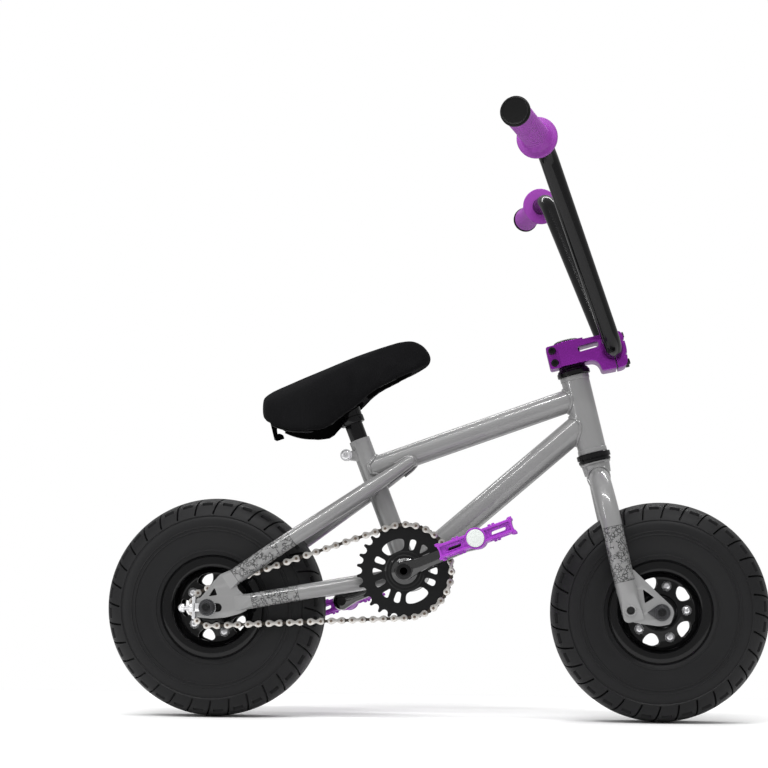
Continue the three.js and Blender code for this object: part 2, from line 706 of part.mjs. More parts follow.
// ---------------------------------------------------------------- frame
function mainFrame() {
  const headLow = steered(0, 0, headTubeBottom);
  const headHigh = steered(0, 0, headTubeTop);
  const head = barBetween(headLow, headHigh, headTubeRadius, headTubeRadius, 20);
  const shell = barY(bbShellRadius, -bbShellLength / 2, bbShellLength / 2, bbX, bbZ, 20);
  const bb = v3(bbX, 0, bbZ);
  const seatTube = barBetween(bb, seatLine(seatTubeLength), seatTubeRadius);
  const topTube = barBetween(seatLine(seatTubeLength - 40), steered(0, 0, headTubeTop - 27), topTubeRadius);
  const downTube = barBetween(bb, steered(0, 0, headTubeBottom + 41), downTubeRadius);
  const crossing = seatLine(seatTubeLength - 60); // where the stays pass the seat tube
  const seatStay = [
    v3(rearX + 22, rearDropout, axleZ + 30),
    v3(rearX + 78, rearDropout - 3, axleZ + 69.5),
    v3(rearX + 114, rearDropout - 13, axleZ + 94.5),
    v3(rearX + 159, rearDropout - 31, axleZ + 126),
    v3(crossing.x + 3, seatTubeRadius + seatStayRadius + 1, crossing.z),
    v3(crossing.x + 44, topTubeRadius + seatStayRadius - 4.5, crossing.z + 29),
  ];
  const chainStay = [
    v3(rearX + 33, rearDropout, axleZ + 5),
    v3(rearX + 83, rearDropout - 2, axleZ + 14),
    v3(rearX + 123, rearDropout - 13, axleZ + 21.5),
    v3(rearX + 158, (rearDropout + 11) / 2, axleZ + 28),
    v3(rearX + 193, bbShellRadius + 2, axleZ + 34.5),
    v3(rearX + 223, bbShellRadius - 3, axleZ + 40),
  ];
  const dropout = [
    [14, 40], [-9, 11.5], [-14, 11], [-14.5, -12], [-7, -12.5], [5, -13.5], [22, -12],
    [38, -7.5], [48, -3], [46, 14], [37, 22], [35, 28], [40, 38], [28, 46],
  ].map(([x, z]) => v2(rearX + x, axleZ + z));
  const window = [[8, 24], [11.5, 15], [1, 13.5]].map(([x, z]) => v2(rearX + x, axleZ + z));
  const parts = [head, shell, seatTube, topTube, downTube];
  for (const side of [1, -1]) {
    const turned = (points) => (side > 0 ? points : mirrored(points));
    parts.push(tubeAlong(turned(smoothPath(seatStay, 8)), seatStayRadius, 10));
    parts.push(tubeAlong(turned(smoothPath(chainStay, 7)), chainStayRadius, 10));
    const near = side * rearDropout - rearDropoutThick / 2;
    parts.push(plateY(dropout, near, near + rearDropoutThick, [window]));
    const ear = seatLine(seatTubeLength - 24);
    const earNear = side > 0 ? 2 : -10;
    const lugEnd = -seatTubeRadius - 18;
    const lug = [[lugEnd, -3], [0, -8], [0, 14], [lugEnd, 9]].map(([x, z]) => v2(ear.x + x, ear.z + z));
    parts.push(plateY(lug, earNear, earNear + 8));
  }
  const slotHalf = axleRadius + clearance;
  const slot = block(rearX - 30, rearX + 12, -2 * rearDropout, 2 * rearDropout, axleZ - slotHalf, axleZ + slotHalf);
  const slotEnd = barY(slotHalf, -2 * rearDropout, 2 * rearDropout, rearX + 12, axleZ, 12);
  const bolt = seatClampPlace();
  const tools = [
    slot,
    slotEnd,
    barBetween(steered(0, 0, 0), steered(0, 0, 2 * headTubeTop), headTubeRadius - headTubeWall),
    barBetween(seatLine(seatPostBottom - 25), seatLine(2 * seatTubeLength), seatPostRadius + slideClearance),
    barY(spindleRadius + 8, -bbShellLength, bbShellLength, bbX, bbZ, 16),
    barY(3 + clearance, -bbShellLength, bbShellLength, bolt.x, bolt.z, 8),
  ];
  place(bike, "main_frame", cut(joined(parts), tools), paint);
}

function seatClampPlace() {
  const beside = seatLine(seatTubeLength - 24);
  return v3(beside.x - seatTubeRadius - 10.7, 0, beside.z + 2.6);
}

function seatClampBolt() {
  const { x, z } = seatClampPlace();
  const seat = 10 + clearance;
  const profile = [
    [0, -seat - 5], [7, -seat - 5], [7, -seat], [3, -seat],
    [3, seat], [6, seat], [6, seat + 5], [0, seat + 5],
  ];
  place(bike, "seat_clamp_bolt", turnedY(profile, x, z, 12), chrome);
}

// A plate over the open end of each dropout, with its eye on the axle and its screw to the rear.
function tensioner(name, side) {
  const plate = rearDropout + rearDropoutThick / 2 + clearance;
  const thick = 2.2;
  const ys = (near, far) => (side > 0 ? [near, far] : [-far, -near]);
  const rear = rearX - 14.5 - clearance;
  const eye = barY(10.5, ...ys(plate, plate + thick), rearX, axleZ, 16);
  const arm = block(rear - 4, rearX, ...ys(plate, plate + thick), axleZ - 5, axleZ + 5);
  const inner = rearDropout - rearDropoutThick / 2;
  const cap = block(rear - 4, rear, ...ys(inner, plate + thick), axleZ - 14, axleZ + 13);
  const screw = barBetween(
    v3(rear - 20, side * rearDropout, axleZ - 1),
    v3(rear - 2, side * rearDropout, axleZ - 1), 3, 3, 8);
  const head = barBetween(
    v3(rear - 21, side * rearDropout, axleZ - 1),
    v3(rear - 15, side * rearDropout, axleZ - 1), 5.5, 5.5, 6);
  const nut = barBetween(
    v3(rear - 8, side * rearDropout, axleZ - 1),
    v3(rear - 3, side * rearDropout, axleZ - 1), 6, 6, 6);
  const bore = barY(axleRadius + clearance, ...ys(plate - 5, plate + 5), rearX, axleZ, 12);
  place(bike, `tensioner_${name}`, cut(joined([eye, arm, cap, screw, head, nut]), [bore]), chrome);
  return thick + clearance;
}

// ---------------------------------------------------------------- seat
function seat() {
  const post = barBetween(seatLine(seatPostBottom), seatLine(seatPostTop), seatPostRadius);
  place(bike, "seat_post", post, blackGloss);
  const at = seatLine(seatMount);
  const outline = (points) => points.map(([x, z]) => v2(at.x + x, at.z + z));
  const underside = [
    [-103, -6], [-97, -12], [-84, -17.5], [-64, -25], [-42, -31], [-28, -31], [-18, -22],
    [-8, -8], [10, 6], [20, 18], [36, 29.5], [60, 40.5], [92, 56],
  ];
  const topside = [
    [100.4, 65.6], [97.2, 72.5], [89.4, 83.3], [75.3, 89.4], [59.7, 86.1], [31.8, 75.7],
    [-14.7, 55.8], [-61.2, 37.4], [-95.3, 22.2], [-104.5, 14.4], [-106, 6],
  ];
  const plan = (inset) => {
    const half = [
      [-106, 38], [-101, 54], [-90, 63], [-70, 67], [-45, 64], [-20, 50], [5, 36],
      [35, 29], [65, 27], [85, 22], [96, 14], [100.4, 5],
    ].map(([x, y]) => [x, y - inset]);
    const other = half.map(([x, y]) => [x, -y]).reverse();
    return [...half, ...other].map(([x, y]) => v2(at.x + x, y));
  };
  const tall = (points) => {
    const geometry = new THREE.ExtrudeGeometry(new THREE.Shape(points), { depth: 200, bevelEnabled: false });
    geometry.translate(0, 0, at.z - 80);
    return solid(geometry);
  };
  const dome = domed(at);
  const cover = plateY(outline([...underside, ...topside]), -90, 90).intersect(tall(plan(0))).intersect(dome);
  place(bike, "seat_cover", cover, fabric);
  const shellGap = 0.5;
  const shellDrop = 4.5;
  const lower = underside.map(([x, z]) => [x, z - shellGap]);
  const lowest = underside.map(([x, z]) => [x + 1, z - shellDrop]).reverse();
  const shell = plateY(outline([...lower, ...lowest]), -90, 90).intersect(tall(plan(3)));
  const above = plateY(outline([...lower, [200, 90], [200, 200], [-200, 200], [-200, 0]]), -90, 90);
  const neck = cut(barBetween(seatLine(seatNeckBottom), seatLine(seatMount + 30), seatNeckRadius), [above]);
  const bore = barBetween(seatLine(seatNeckBottom - 10), seatLine(seatPostTop + 1), seatPostRadius + clearance);
  place(bike, "seat_base", cut(joined([shell, neck]), [bore]), blackPlastic);
}

// The cover's rounded cross-section, drawn out along the slope of its top.
function domed(at) {
  const slope = rad(23);
  const across = [
    [67, -90], [67, -30], [60, -17], [46, -8], [26, -2], [0, 0],
    [-26, -2], [-46, -8], [-60, -17], [-67, -30], [-67, -90],
  ];
  const shape = new THREE.Shape(across.map(([y, z]) => v2(y, z)));
  const geometry = new THREE.ExtrudeGeometry(shape, { depth: 400, bevelEnabled: false });
  geometry.translate(0, 0, -200);
  geometry.rotateX(Math.PI / 2);
  geometry.rotateZ(Math.PI / 2);
  geometry.rotateY(-slope);
  geometry.translate(at.x, 0, at.z + 65.5);
  return solid(geometry);
}

// ---------------------------------------------------------------- front end, in its own frame
function fork() {
  const crownTop = headTubeBottom - lowerCupHeight - clearance;
  const steerer = barBetween(v3(0, 0, crownTop - 16), v3(0, 0, stemBottom + 28), steererRadius);
  const crown = turnedZ([[0, crownTop - 14], [17, crownTop - 14], [19, crownTop], [0, crownTop]], 0, 0, 16);
  const leg = [
    v3(0, 8, crownTop - 18),
    v3(0, 27, crownTop - 25),
    v3(0, 44, crownTop - 40),
    v3(0, forkLegSpread - 3, crownTop - 62),
    v3(0, forkLegSpread, crownTop - 88),
    v3(-1, forkLegSpread, crownTop - 130),
    v3(-1, forkLegSpread, -3),
  ];
  const dropout = [
    [11.6, 59.7], [forkOffset + 2.5, 21.4], [forkOffset + 13.8, 4.3], [forkOffset + 14.9, -3.6],
    [forkOffset + 7.1, -16], [forkOffset - 6.3, -15.6], [6.2, -7.5], [-4, -3], [-6, 40],
  ].map(([x, z]) => v2(x, z));
  const window = [[-15.3, 32.3], [-4.6, 19.6], [-17, 15.6]].map(([x, z]) => v2(forkOffset + x, z));
  const parts = [steerer, crown];
  for (const side of [1, -1]) {
    const points = side > 0 ? leg : mirrored(leg);
    parts.push(tubeAlong(smoothPath(points, 10), forkLegRadius, 12));
    const near = side * forkLegSpread - forkDropoutThick / 2;
    parts.push(plateY(dropout, near, near + forkDropoutThick, [window]));
  }
  const slotHalf = axleRadius + clearance;
  const reach = 2 * forkLegSpread;
  const tools = [
    barY(slotHalf, -reach, reach, forkOffset, 0, 12),
    barY(5.6, -reach, reach, -2.4, 10.9, 10),
  ];
  place(frontEnd, "fork", cut(joined(parts), tools), paint);
}

function headset() {
  const bore = steererRadius + clearance;
  const cup = (low, high, wide) => [[bore, low], [wide - 1, low], [wide, low + 1.5], [wide, high], [bore, high]];
  const lowerCup = cup(headTubeBottom - lowerCupHeight, headTubeBottom - clearance, headTubeRadius + 3.5);
  place(frontEnd, "headset_cup_lower", turnedZ(lowerCup, 0, 0, 16), blackGloss);
  const upperTop = headTubeTop + clearance + upperCupHeight;
  const upperCup = cup(headTubeTop + clearance, upperTop, headTubeRadius + 3);
  place(frontEnd, "headset_cup_upper", turnedZ(upperCup, 0, 0, 16), blackGloss);
  const coverLow = upperTop + clearance;
  const cover = [
    [bore, coverLow], [headTubeRadius + 1.5, coverLow], [headTubeRadius - 1, stemBottom - 1.5],
    [headTubeRadius - 1, stemBottom - clearance], [bore, stemBottom - clearance],
  ];
  place(frontEnd, "headset_cover", turnedZ(cover, 0, 0, 16), blackGloss);
  const capLow = stemBottom + 28 + 1.3;
  const cap = [[0, capLow], [16, capLow], [16, capLow + 2], [13, capLow + 3.5], [0, capLow + 3.5]];
  place(frontEnd, "stem_top_cap", turnedZ(cap, 0, 0, 16), blackGloss);
}

function stem() {
  const half = stemWidth / 2;
  const split = stemReach + clearance / 2;
  const at = (points) => points.map(([x, z]) => v2(x, stemMiddle + z));
  const back = [
    [-27, -14.5], [16, -14.5], [28, -16], [33, -21], [34.6, -31], [split - 0.15, -32],
    [split - 0.15, 12.8], [41.5, 14.4], [5, 14.8], [-27, 13.9],
  ];
  const front = [
    [split + 1.2, -32.2], [63, -32], [67.5, -28], [70, -10], [69, 6], [66, 12], [split + 1.2, 12.8],
  ];
  const barHole = barY(barRadius + slideClearance, -stemWidth, stemWidth, stemReach, stemMiddle - barDrop, 24);
  const steererHole = barBetween(v3(0, 0, 0), v3(0, 0, 2 * stemMiddle), steererRadius + clearance);
  const slot = block(17.5, 37, -stemWidth, stemWidth, stemMiddle - 1, stemMiddle + 6);
  const rearSlit = block(-40, -10, -1.2, 1.2, stemMiddle - 40, stemMiddle + 40);
  const body = cut(plateY(at(back), -half, half), [barHole, steererHole, slot, rearSlit]);
  place(frontEnd, "stem_body", body, purpleMetal);
  const plate = plateY(at(front), -half, half);
  const gap = block(60, 80, -9, 9, stemMiddle - 14, stemMiddle - 5);
  place(frontEnd, "stem_faceplate", cut(plate, [barHole, gap]), purpleMetal);
}

// ---------------------------------------------------------------- handlebar
function handlebar() {
  const centre = steered(stemReach, 0, stemMiddle - barDrop);
  const bendTop = v3(centre.x - barSetback, barTopWidth / 2, centre.z + barRise);
  const gripSpan = (barEndWidth - barTopWidth) / 2;
  const end = v3(
    bendTop.x - gripSpan * Math.tan(rad(gripSweep)),
    barEndWidth / 2,
    bendTop.z + gripSpan * Math.tan(rad(gripUpsweep)),
  );
  const half = [end, bendTop, v3(centre.x, barBottomWidth / 2, centre.z)];
  const corners = [...half, ...mirrored(half).reverse()];
  const points = roundedPath(corners, 34, 5);
  const bore = points.slice();
  const outward = points[0].clone().sub(points[1]).normalize();
  bore[0] = points[0].clone().add(outward);
  bore[bore.length - 1] = mirrored([bore[0]])[0];
  const made = cut(tubeAlong(points, barRadius, 14), [tubeAlong(bore, barBore, 7)]);
  place(bike, "handlebar", made, blackGloss);
  for (const [name, side] of [["right", -1], ["left", 1]]) {
    const tip = v3(end.x, side * end.y, end.z);
    const axis = v3(outward.x, side * outward.y, outward.z);
    grip(name, tip, axis);
  }
}

function grip(name, tip, outward) {
  const group = new THREE.Group(); // its Y runs outwards along the grip, from the bar's end
  group.position.copy(tip);
  group.quaternion.setFromUnitVectors(v3(0, 1, 0), outward);
  bike.add(group);
  const bore = barRadius + clearance;
  const profile = [
    [bore, -gripLength], [gripFlangeRadius, -gripLength],
    [gripFlangeRadius, -gripLength + gripFlangeThick],
    [gripRadius + 1, -gripLength + gripFlangeThick + 2],
    [gripRadius, -gripLength + 14], [gripRadius, -1], [bore, -1],
  ];
  place(group, `grip_${name}`, turnedY(profile, 0, 0, 16), purplePlastic);
  const plug = [
    [0, -22], [barBore - 1.2, -22], [barBore - 1.2, clearance], [barPlugRadius, clearance],
    [barPlugRadius, barPlugThick - 1.5], [barPlugRadius - 2, barPlugThick], [0, barPlugThick],
  ];
  place(group, `bar_plug_${name}`, turnedY(plug, 0, 0, 14), blackPlastic);
}

// ---------------------------------------------------------------- the bike
mainFrame();
seatClampBolt();
seat();
headset();
fork();
stem();
handlebar();
bottomBracket();
chainring();
rearCog();
chain();
for (const [name, side] of [["right", -1], ["left", 1]]) {
  const end = crankArm(name, side);
  pedal(name, side, end);
}
const tensionerThick = tensioner("right", -1);
tensioner("left", 1);
axle("rear", rearX, rearDropout + rearDropoutThick / 2, tensionerThick);
axle("front", frontX, forkLegSpread + forkDropoutThick / 2, 0);
wheel("rear", rearX, rad(148), chainLine - sprocketThick / 2 - 2.5, rearDropout - rearDropoutThick / 2 - 2);
const frontHubEnd = forkLegSpread - forkDropoutThick / 2 - 2;
wheel("front", frontX, rad(4), frontHubEnd, frontHubEnd);

export default bike;
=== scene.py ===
"""Small BMX bike with fat tyres: the looks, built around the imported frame. Modelled in millimetres."""
import json
import math

import bpy
from mathutils import Matrix, Vector


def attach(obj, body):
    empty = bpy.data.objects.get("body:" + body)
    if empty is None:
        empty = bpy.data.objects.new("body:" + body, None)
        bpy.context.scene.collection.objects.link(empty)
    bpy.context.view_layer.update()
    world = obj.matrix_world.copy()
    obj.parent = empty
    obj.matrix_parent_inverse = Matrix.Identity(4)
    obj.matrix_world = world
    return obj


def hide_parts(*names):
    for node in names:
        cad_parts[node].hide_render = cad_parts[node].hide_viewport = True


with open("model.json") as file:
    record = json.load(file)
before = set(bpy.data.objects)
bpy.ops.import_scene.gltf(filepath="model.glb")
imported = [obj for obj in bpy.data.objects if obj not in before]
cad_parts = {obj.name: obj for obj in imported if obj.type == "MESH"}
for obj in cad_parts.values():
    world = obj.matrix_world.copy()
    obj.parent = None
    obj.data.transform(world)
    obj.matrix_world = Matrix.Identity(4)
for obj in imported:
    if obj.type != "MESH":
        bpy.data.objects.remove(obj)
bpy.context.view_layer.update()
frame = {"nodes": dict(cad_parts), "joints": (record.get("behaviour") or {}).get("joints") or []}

MM = 0.001
UP = Vector((0, 0, 1))
LEFT = Vector((0, 1, 0))
SIDES = (("right", -1), ("left", 1))

# ---------------------------------------------------------------- places taken from the frame
joint = {j["name"]: j for j in frame["joints"]}


def place_of(name):
    """Where the frame puts that joint, in millimetres."""
    return Vector(joint[name]["pos_m"]) / MM


def frame_along(origin, axis):
    """A local frame at origin: Z along axis, Y to the rider's left, X forwards from the axis."""
    axis = Vector(axis).normalized()
    ahead = LEFT.cross(axis)
    turned = Matrix((ahead, LEFT, axis)).transposed().to_4x4()
    return Matrix.Translation(origin) @ turned


FRONT_AXLE = place_of("front_wheel_spin")
REAR_AXLE = place_of("rear_wheel_spin")
BRACKET = place_of("crank_spin")  # the bottom bracket
PEDALS = {side: place_of(f"pedal_{side}_spin") for side, _ in SIDES}
BAR_CENTRE = place_of("handlebar_roll")
STEERED = frame_along(place_of("steering"), joint["steering"]["axis"])
SEATED = frame_along(BRACKET, joint["seat_height"]["axis"])
ALONG_Y = Matrix.Rotation(math.radians(-90), 4, "X")  # stands local Z along the bike's Y
UPRIGHT = Matrix.Rotation(math.radians(90), 4, "X")  # stands a flat outline up in X and Z
ACROSS = Matrix.Scale(-1, 4, LEFT)  # mirrors from one side of the bike to the other
UPSIDE_DOWN = Matrix.Scale(-1, 4, UP)


def steered(x, y, z):
    """A point given along the steering axis: x ahead of it, y to the left of it, z up it."""
    return STEERED @ Vector((x, y, z))


def seat_line(along):
    """The point that far up the seat tube from the bottom bracket."""
    return SEATED @ Vector((0, 0, along))


# ---------------------------------------------------------------- sizes, in millimetres
# OUT, INNER and OUTER are distances from the bike's middle plane; the head tube's and the stem's heights are
# along the steering axis
RIM_LIP = 62  # radius over the rolled lip
RIM_SEAT = 50.8  # radius that the tyre's foot sits on
DISC_OUT = 14.5
BOLT_CIRCLE = 33
BOLTS = 5
HEAD_RADIUS = 17.5
HEAD_LOW, HEAD_HIGH = 209.3, 308.4
SEAT_TUBE_LENGTH = 175
SEAT_TUBE_RADIUS = 13
TOP_TUBE_RADIUS = 14.3
DOWN_TUBE_RADIUS = 15.9
SHELL_RADIUS = 25
SHELL_HALF = 34
SEAT_STAY_RADIUS = 10
CHAIN_STAY_RADIUS = 9.5
DROPOUT_OUT = 65
PLATE_THICK = 5
FORK_OFFSET = 33.3  # from the steering axis forwards to the axle
LEG_OUT = 59
LEG_RADIUS = 12.7
STEM_BOTTOM = 321.1
STEM_MIDDLE = 335.6
STEM_REACH = 53
STEERER_BORE = 14.6
BAR_BORE = 11.3
BAR_DROP = -9.6  # the bar's middle against the stem's
BAR_RADIUS = 11.1
CHAIN_OUT = 49.5
PITCH = 12.7
RING_TEETH = 28
COG_TEETH = 11
LINKS = 58
CRANK_LENGTH = 97.5
CRANK_INNER, CRANK_OUTER = 58, 70
PEDAL_INNER, PEDAL_OUTER = 84, 152
PEDAL_TURN = math.radians(21)


# ---------------------------------------------------------------- modelling
def only(*objects):
    """Selects just these objects, the first of them active."""
    bpy.ops.object.select_all(action="DESELECT")
    for o in objects:
        o.select_set(True)
    bpy.context.view_layer.objects.active = objects[0]


def editing(o):
    """Opens the object in edit mode with all of it selected."""
    only(o)
    bpy.ops.object.mode_set(mode="EDIT")
    bpy.ops.mesh.select_all(action="SELECT")


def done():
    """Leaves edit mode."""
    bpy.ops.object.mode_set(mode="OBJECT")
    return bpy.context.object


def settled():
    """Puts the new primitive's place, turn and scale into its mesh."""
    bpy.ops.object.transform_apply(location=True, rotation=True, scale=True)
    return bpy.context.object


def moved(o, matrix):
    """Moves, turns or mirrors the mesh itself, keeping its faces outwards."""
    o.data.transform(matrix)
    if matrix.determinant() < 0:
        o.data.flip_normals()
    return o


def on_side(o, side):
    """Takes a part that was made for the rider's left across to the right where side is -1."""
    if side < 0:
        moved(o, ACROSS)
    return o


def tidied(o, reach=0.01):
    """Merges points closer than the reach and turns the faces outwards."""
    editing(o)
    bpy.ops.mesh.remove_doubles(threshold=reach)
    bpy.ops.mesh.normals_make_consistent(inside=False)
    return done()


def applied(o, kind, **settings):
    """Adds a modifier with these settings and applies it."""
    only(o)
    modifier = o.modifiers.new(kind.lower(), kind)
    for key, value in settings.items():
        setattr(modifier, key, value)
    bpy.ops.object.modifier_apply(modifier=modifier.name)
    return o


def bevelled(o, width, segments=2, angle=30):
    return applied(o, "BEVEL", width=width, segments=segments, limit_method="ANGLE",
                   angle_limit=math.radians(angle))


def smooth(o, angle):
    only(o)
    bpy.ops.object.shade_smooth_by_angle(angle=math.radians(angle))
    return o


def together(*objects):
    only(*objects)
    bpy.ops.object.join()
    return bpy.context.object


def boolean(o, tools, operation):
    """Cuts, joins or keeps with each tool in turn, and removes the tools."""
    for tool in tools:
        applied(o, "BOOLEAN", object=tool, operation=operation, solver="EXACT")
        bpy.data.objects.remove(tool)
    return o


def cut(o, *tools):
    return boolean(o, tools, "DIFFERENCE")


def fused(o, *others):
    return boolean(o, others, "UNION")


def copied(o):
    only(o)
    bpy.ops.object.duplicate()
    return bpy.context.object


def rod(start, end, radius, sides=48):
    """A round bar from start to end, or one with flats where it has few sides."""
    start, end = Vector(start), Vector(end)
    turn = (end - start).to_track_quat("Z", "Y").to_euler()
    bpy.ops.object.select_all(action="DESELECT")
    bpy.ops.mesh.primitive_cone_add(
        vertices=sides, radius1=radius, radius2=radius,
        depth=(end - start).length, location=(start + end) / 2, rotation=turn)
    return settled()


def block(low, high):
    """A box between two opposite corners."""
    low, high = Vector(low), Vector(high)
    bpy.ops.object.select_all(action="DESELECT")
    bpy.ops.mesh.primitive_cube_add(size=1, location=(low + high) / 2, scale=high - low)
    return settled()


def wire(points):
    """Edges through the points, drawn by extruding one corner from each to the next."""
    bpy.ops.object.select_all(action="DESELECT")
    bpy.ops.mesh.primitive_plane_add(size=1, location=points[0])
    bpy.ops.object.mode_set(mode="EDIT")
    bpy.ops.mesh.merge(type="CENTER")
    for start, end in zip(points, points[1:]):
        step = Vector(end) - Vector(start)
        bpy.ops.mesh.extrude_vertices_move(TRANSFORM_OT_translate={"value": step})
    done()
    return settled()


def lathe(profile, steps):
    """Turns (height, radius) points about Z."""
    o = wire([(radius, 0, height) for height, radius in profile])
    editing(o)
    bpy.ops.mesh.spin(steps=steps, angle=math.tau, center=(0, 0, 0), axis=(0, 0, 1))
    done()
    return tidied(o)


def ring_lathe(profile, steps):
    """Turns a closed outline of (height, radius) points about Z."""
    return lathe([*profile, profile[0]], steps)


def tube(points, radius, sides, closed=False, smoothly=False, swell=None):
    """A round tube along the points, straight between them or through them smoothly."""
    line = bpy.data.curves.new("tube", "CURVE")
    line.dimensions = "3D"
    line.bevel_depth = radius
    line.bevel_resolution = (sides - 4) // 2
    line.use_fill_caps = True
    line.resolution_u = 10
    spline = line.splines.new("BEZIER" if smoothly else "POLY")
    knots = spline.bezier_points if smoothly else spline.points
    knots.add(len(points) - 1)
    for i, (knot, point) in enumerate(zip(knots, points)):
        knot.co = Vector(point) if smoothly else (*point, 1)
        knot.radius = swell(i) if swell else 1
        if smoothly:
            knot.handle_left_type = knot.handle_right_type = "AUTO"
    spline.use_cyclic_u = closed
    o = bpy.data.objects.new("tube", line)
    bpy.context.scene.collection.objects.link(o)
    only(o)
    bpy.ops.object.convert(target="MESH")
    return tidied(bpy.context.object)


def bent(corners, radius, steps):
    """The corner points with a round bend of that radius at each inner one."""
    corners = [Vector(c) for c in corners]
    points = [corners[0]]
    for before, corner, after in zip(corners, corners[1:], corners[2:]):
        a = (before - corner).normalized()
        b = (after - corner).normalized()
        half = a.angle(b) / 2
        centre = corner + (a + b).normalized() * (radius / math.sin(half))
        start = (corner + a * (radius / math.tan(half)) - centre).normalized()
        end = (corner + b * (radius / math.tan(half)) - centre).normalized()
        for i in range(steps + 1):
            points.append(centre + start.slerp(end, i / steps) * radius)
    return [*points, corners[-1]]


def rounded(corners, reach, steps):
    """A flat outline with its corners rounded off over that reach; corners given as (x, z[, reach])."""
    points = []
    count = len(corners)
    for i, corner in enumerate(corners):
        here = Vector(corner[:2])
        own = corner[2] if len(corner) > 2 else reach
        before = Vector(corners[i - 1][:2]) - here
        after = Vector(corners[(i + 1) % count][:2]) - here
        if own <= 0:
            points.append(tuple(here))
            continue
        start = here + before.normalized() * min(own, before.length * 0.49)
        end = here + after.normalized() * min(own, after.length * 0.49)
        for k in range(steps + 1):
            t = k / steps
            points.append(tuple(start * (1 - t) ** 2 + here * (2 * t * (1 - t)) + end * t ** 2))
    return points


def polar(radius, turn):
    """A flat point at that radius and turn."""
    return (radius * math.cos(turn), radius * math.sin(turn))


def ring_points(radius, count, x=0.0, z=0.0):
    """A circle's points, going round from the front."""
    turns = (math.tau * i / count for i in range(count))
    return [(x + radius * math.cos(a), z + radius * math.sin(a)) for a in turns]


def plate(outline, thick, holes=(), edge=0.5, at_y=0.0):
    """A flat plate in X and Z with softened edges and holes, its middle at at_y."""
    shape = bpy.data.curves.new("plate", "CURVE")
    shape.dimensions = "2D"
    shape.fill_mode = "BOTH"
    shape.bevel_depth = edge
    shape.bevel_resolution = 1
    shape.offset = -edge
    shape.extrude = thick / 2 - edge
    for loop in (outline, *holes):
        spline = shape.splines.new("POLY")
        spline.points.add(len(loop) - 1)
        for knot, (x, z) in zip(spline.points, loop):
            knot.co = (x, z, 0, 1)
        spline.use_cyclic_u = True
    o = bpy.data.objects.new("plate", shape)
    bpy.context.scene.collection.objects.link(o)
    only(o)
    bpy.ops.object.convert(target="MESH")
    return moved(tidied(bpy.context.object), Matrix.Translation((0, at_y, 0)) @ UPRIGHT)


def meeting(start, end, radius, other_start, other_end, other_radius, count=96):
    """The points where a tube that ends in another one meets its wall."""
    start, end = Vector(start), Vector(end)
    along = (end - start).normalized()
    side = along.cross(LEFT if abs(along.y) < 0.9 else UP).normalized()
    third = along.cross(side)
    base = Vector(other_start)
    other = (Vector(other_end) - base).normalized()
    points = []
    for i in range(count):
        turn = math.tau * i / count
        origin = start + (side * math.cos(turn) + third * math.sin(turn)) * radius
        gap = origin - base
        flat_gap = gap - other * gap.dot(other)
        flat_way = along - other * along.dot(other)
        a = flat_way.dot(flat_way)
        b = flat_way.dot(flat_gap)
        c = flat_gap.dot(flat_gap) - other_radius ** 2
        root = math.sqrt(max(b * b - a * c, 0))
        points.append(origin + along * ((-b - root) / a))
    return points


def bead(points, radius=1.9):
    """A weld bead along a closed line of points, with its ripples."""
    ripples = 38
    ripple_height = 0.22
    count = len(points)
    return tube(points, radius, sides=8, closed=True,
                swell=lambda i: 1 + ripple_height * abs(math.sin(math.pi * ripples * i / count)))


def piece(o, name, body, slot, material, *nodes, matrix=None, angle=35):
    """Names a finished piece, sets it in the bike's frame in metres, and ties it to its body."""
    if matrix:
        moved(o, matrix)
    smooth(o, angle)
    o.data.transform(Matrix.Scale(MM, 4))
    o.name = name
    o.data.name = name
    if o.data.materials:
        o.data.materials[0] = material
    else:
        o.data.materials.append(material)
    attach(o, body)
    if nodes:
        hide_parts(*nodes)
    return o


def second_material(o, material, chosen):
    """Gives the faces whose middle passes the test one more material; the first is set by piece."""
    if not o.data.materials:
        o.data.materials.append(None)
    o.data.materials.append(material)
    index = len(o.data.materials) - 1
    for face in o.data.polygons:
        if chosen(face.center):
            face.material_index = index


# ---------------------------------------------------------------- materials
def colour(red, green, blue):
    """A colour written in the usual 0 to 255, as the renderer's linear values."""
    def linear(value):
        share = value / 255
        return share / 12.92 if share <= 0.04045 else ((share + 0.055) / 1.055) ** 2.4
    return (linear(red), linear(green), linear(blue), 1)


def node_group(name, inputs, outputs):
    """An empty node group with these sockets. Returns it with its entry and its exit."""
    group = bpy.data.node_groups.new(name, "ShaderNodeTree")
    for title, kind in inputs:
        group.interface.new_socket(title, in_out="INPUT", socket_type=kind)
    for title, kind in outputs:
        group.interface.new_socket(title, in_out="OUTPUT", socket_type=kind)
    return group, group.nodes.new("NodeGroupInput"), group.nodes.new("NodeGroupOutput")


def math_node(tree, operation, first, second=None):
    """One step of arithmetic on numbers or sockets. Returns its result."""
    node = tree.nodes.new("ShaderNodeMath")
    node.operation = operation
    for socket, value in zip(node.inputs, (first, second)):
        if value is None:
            continue
        if isinstance(value, (int, float)):
            socket.default_value = value
        else:
            tree.links.new(value, socket)
    return node.outputs[0]


def set_inputs(node, values):
    for title, value in values.items():
        node.inputs[title].default_value = value


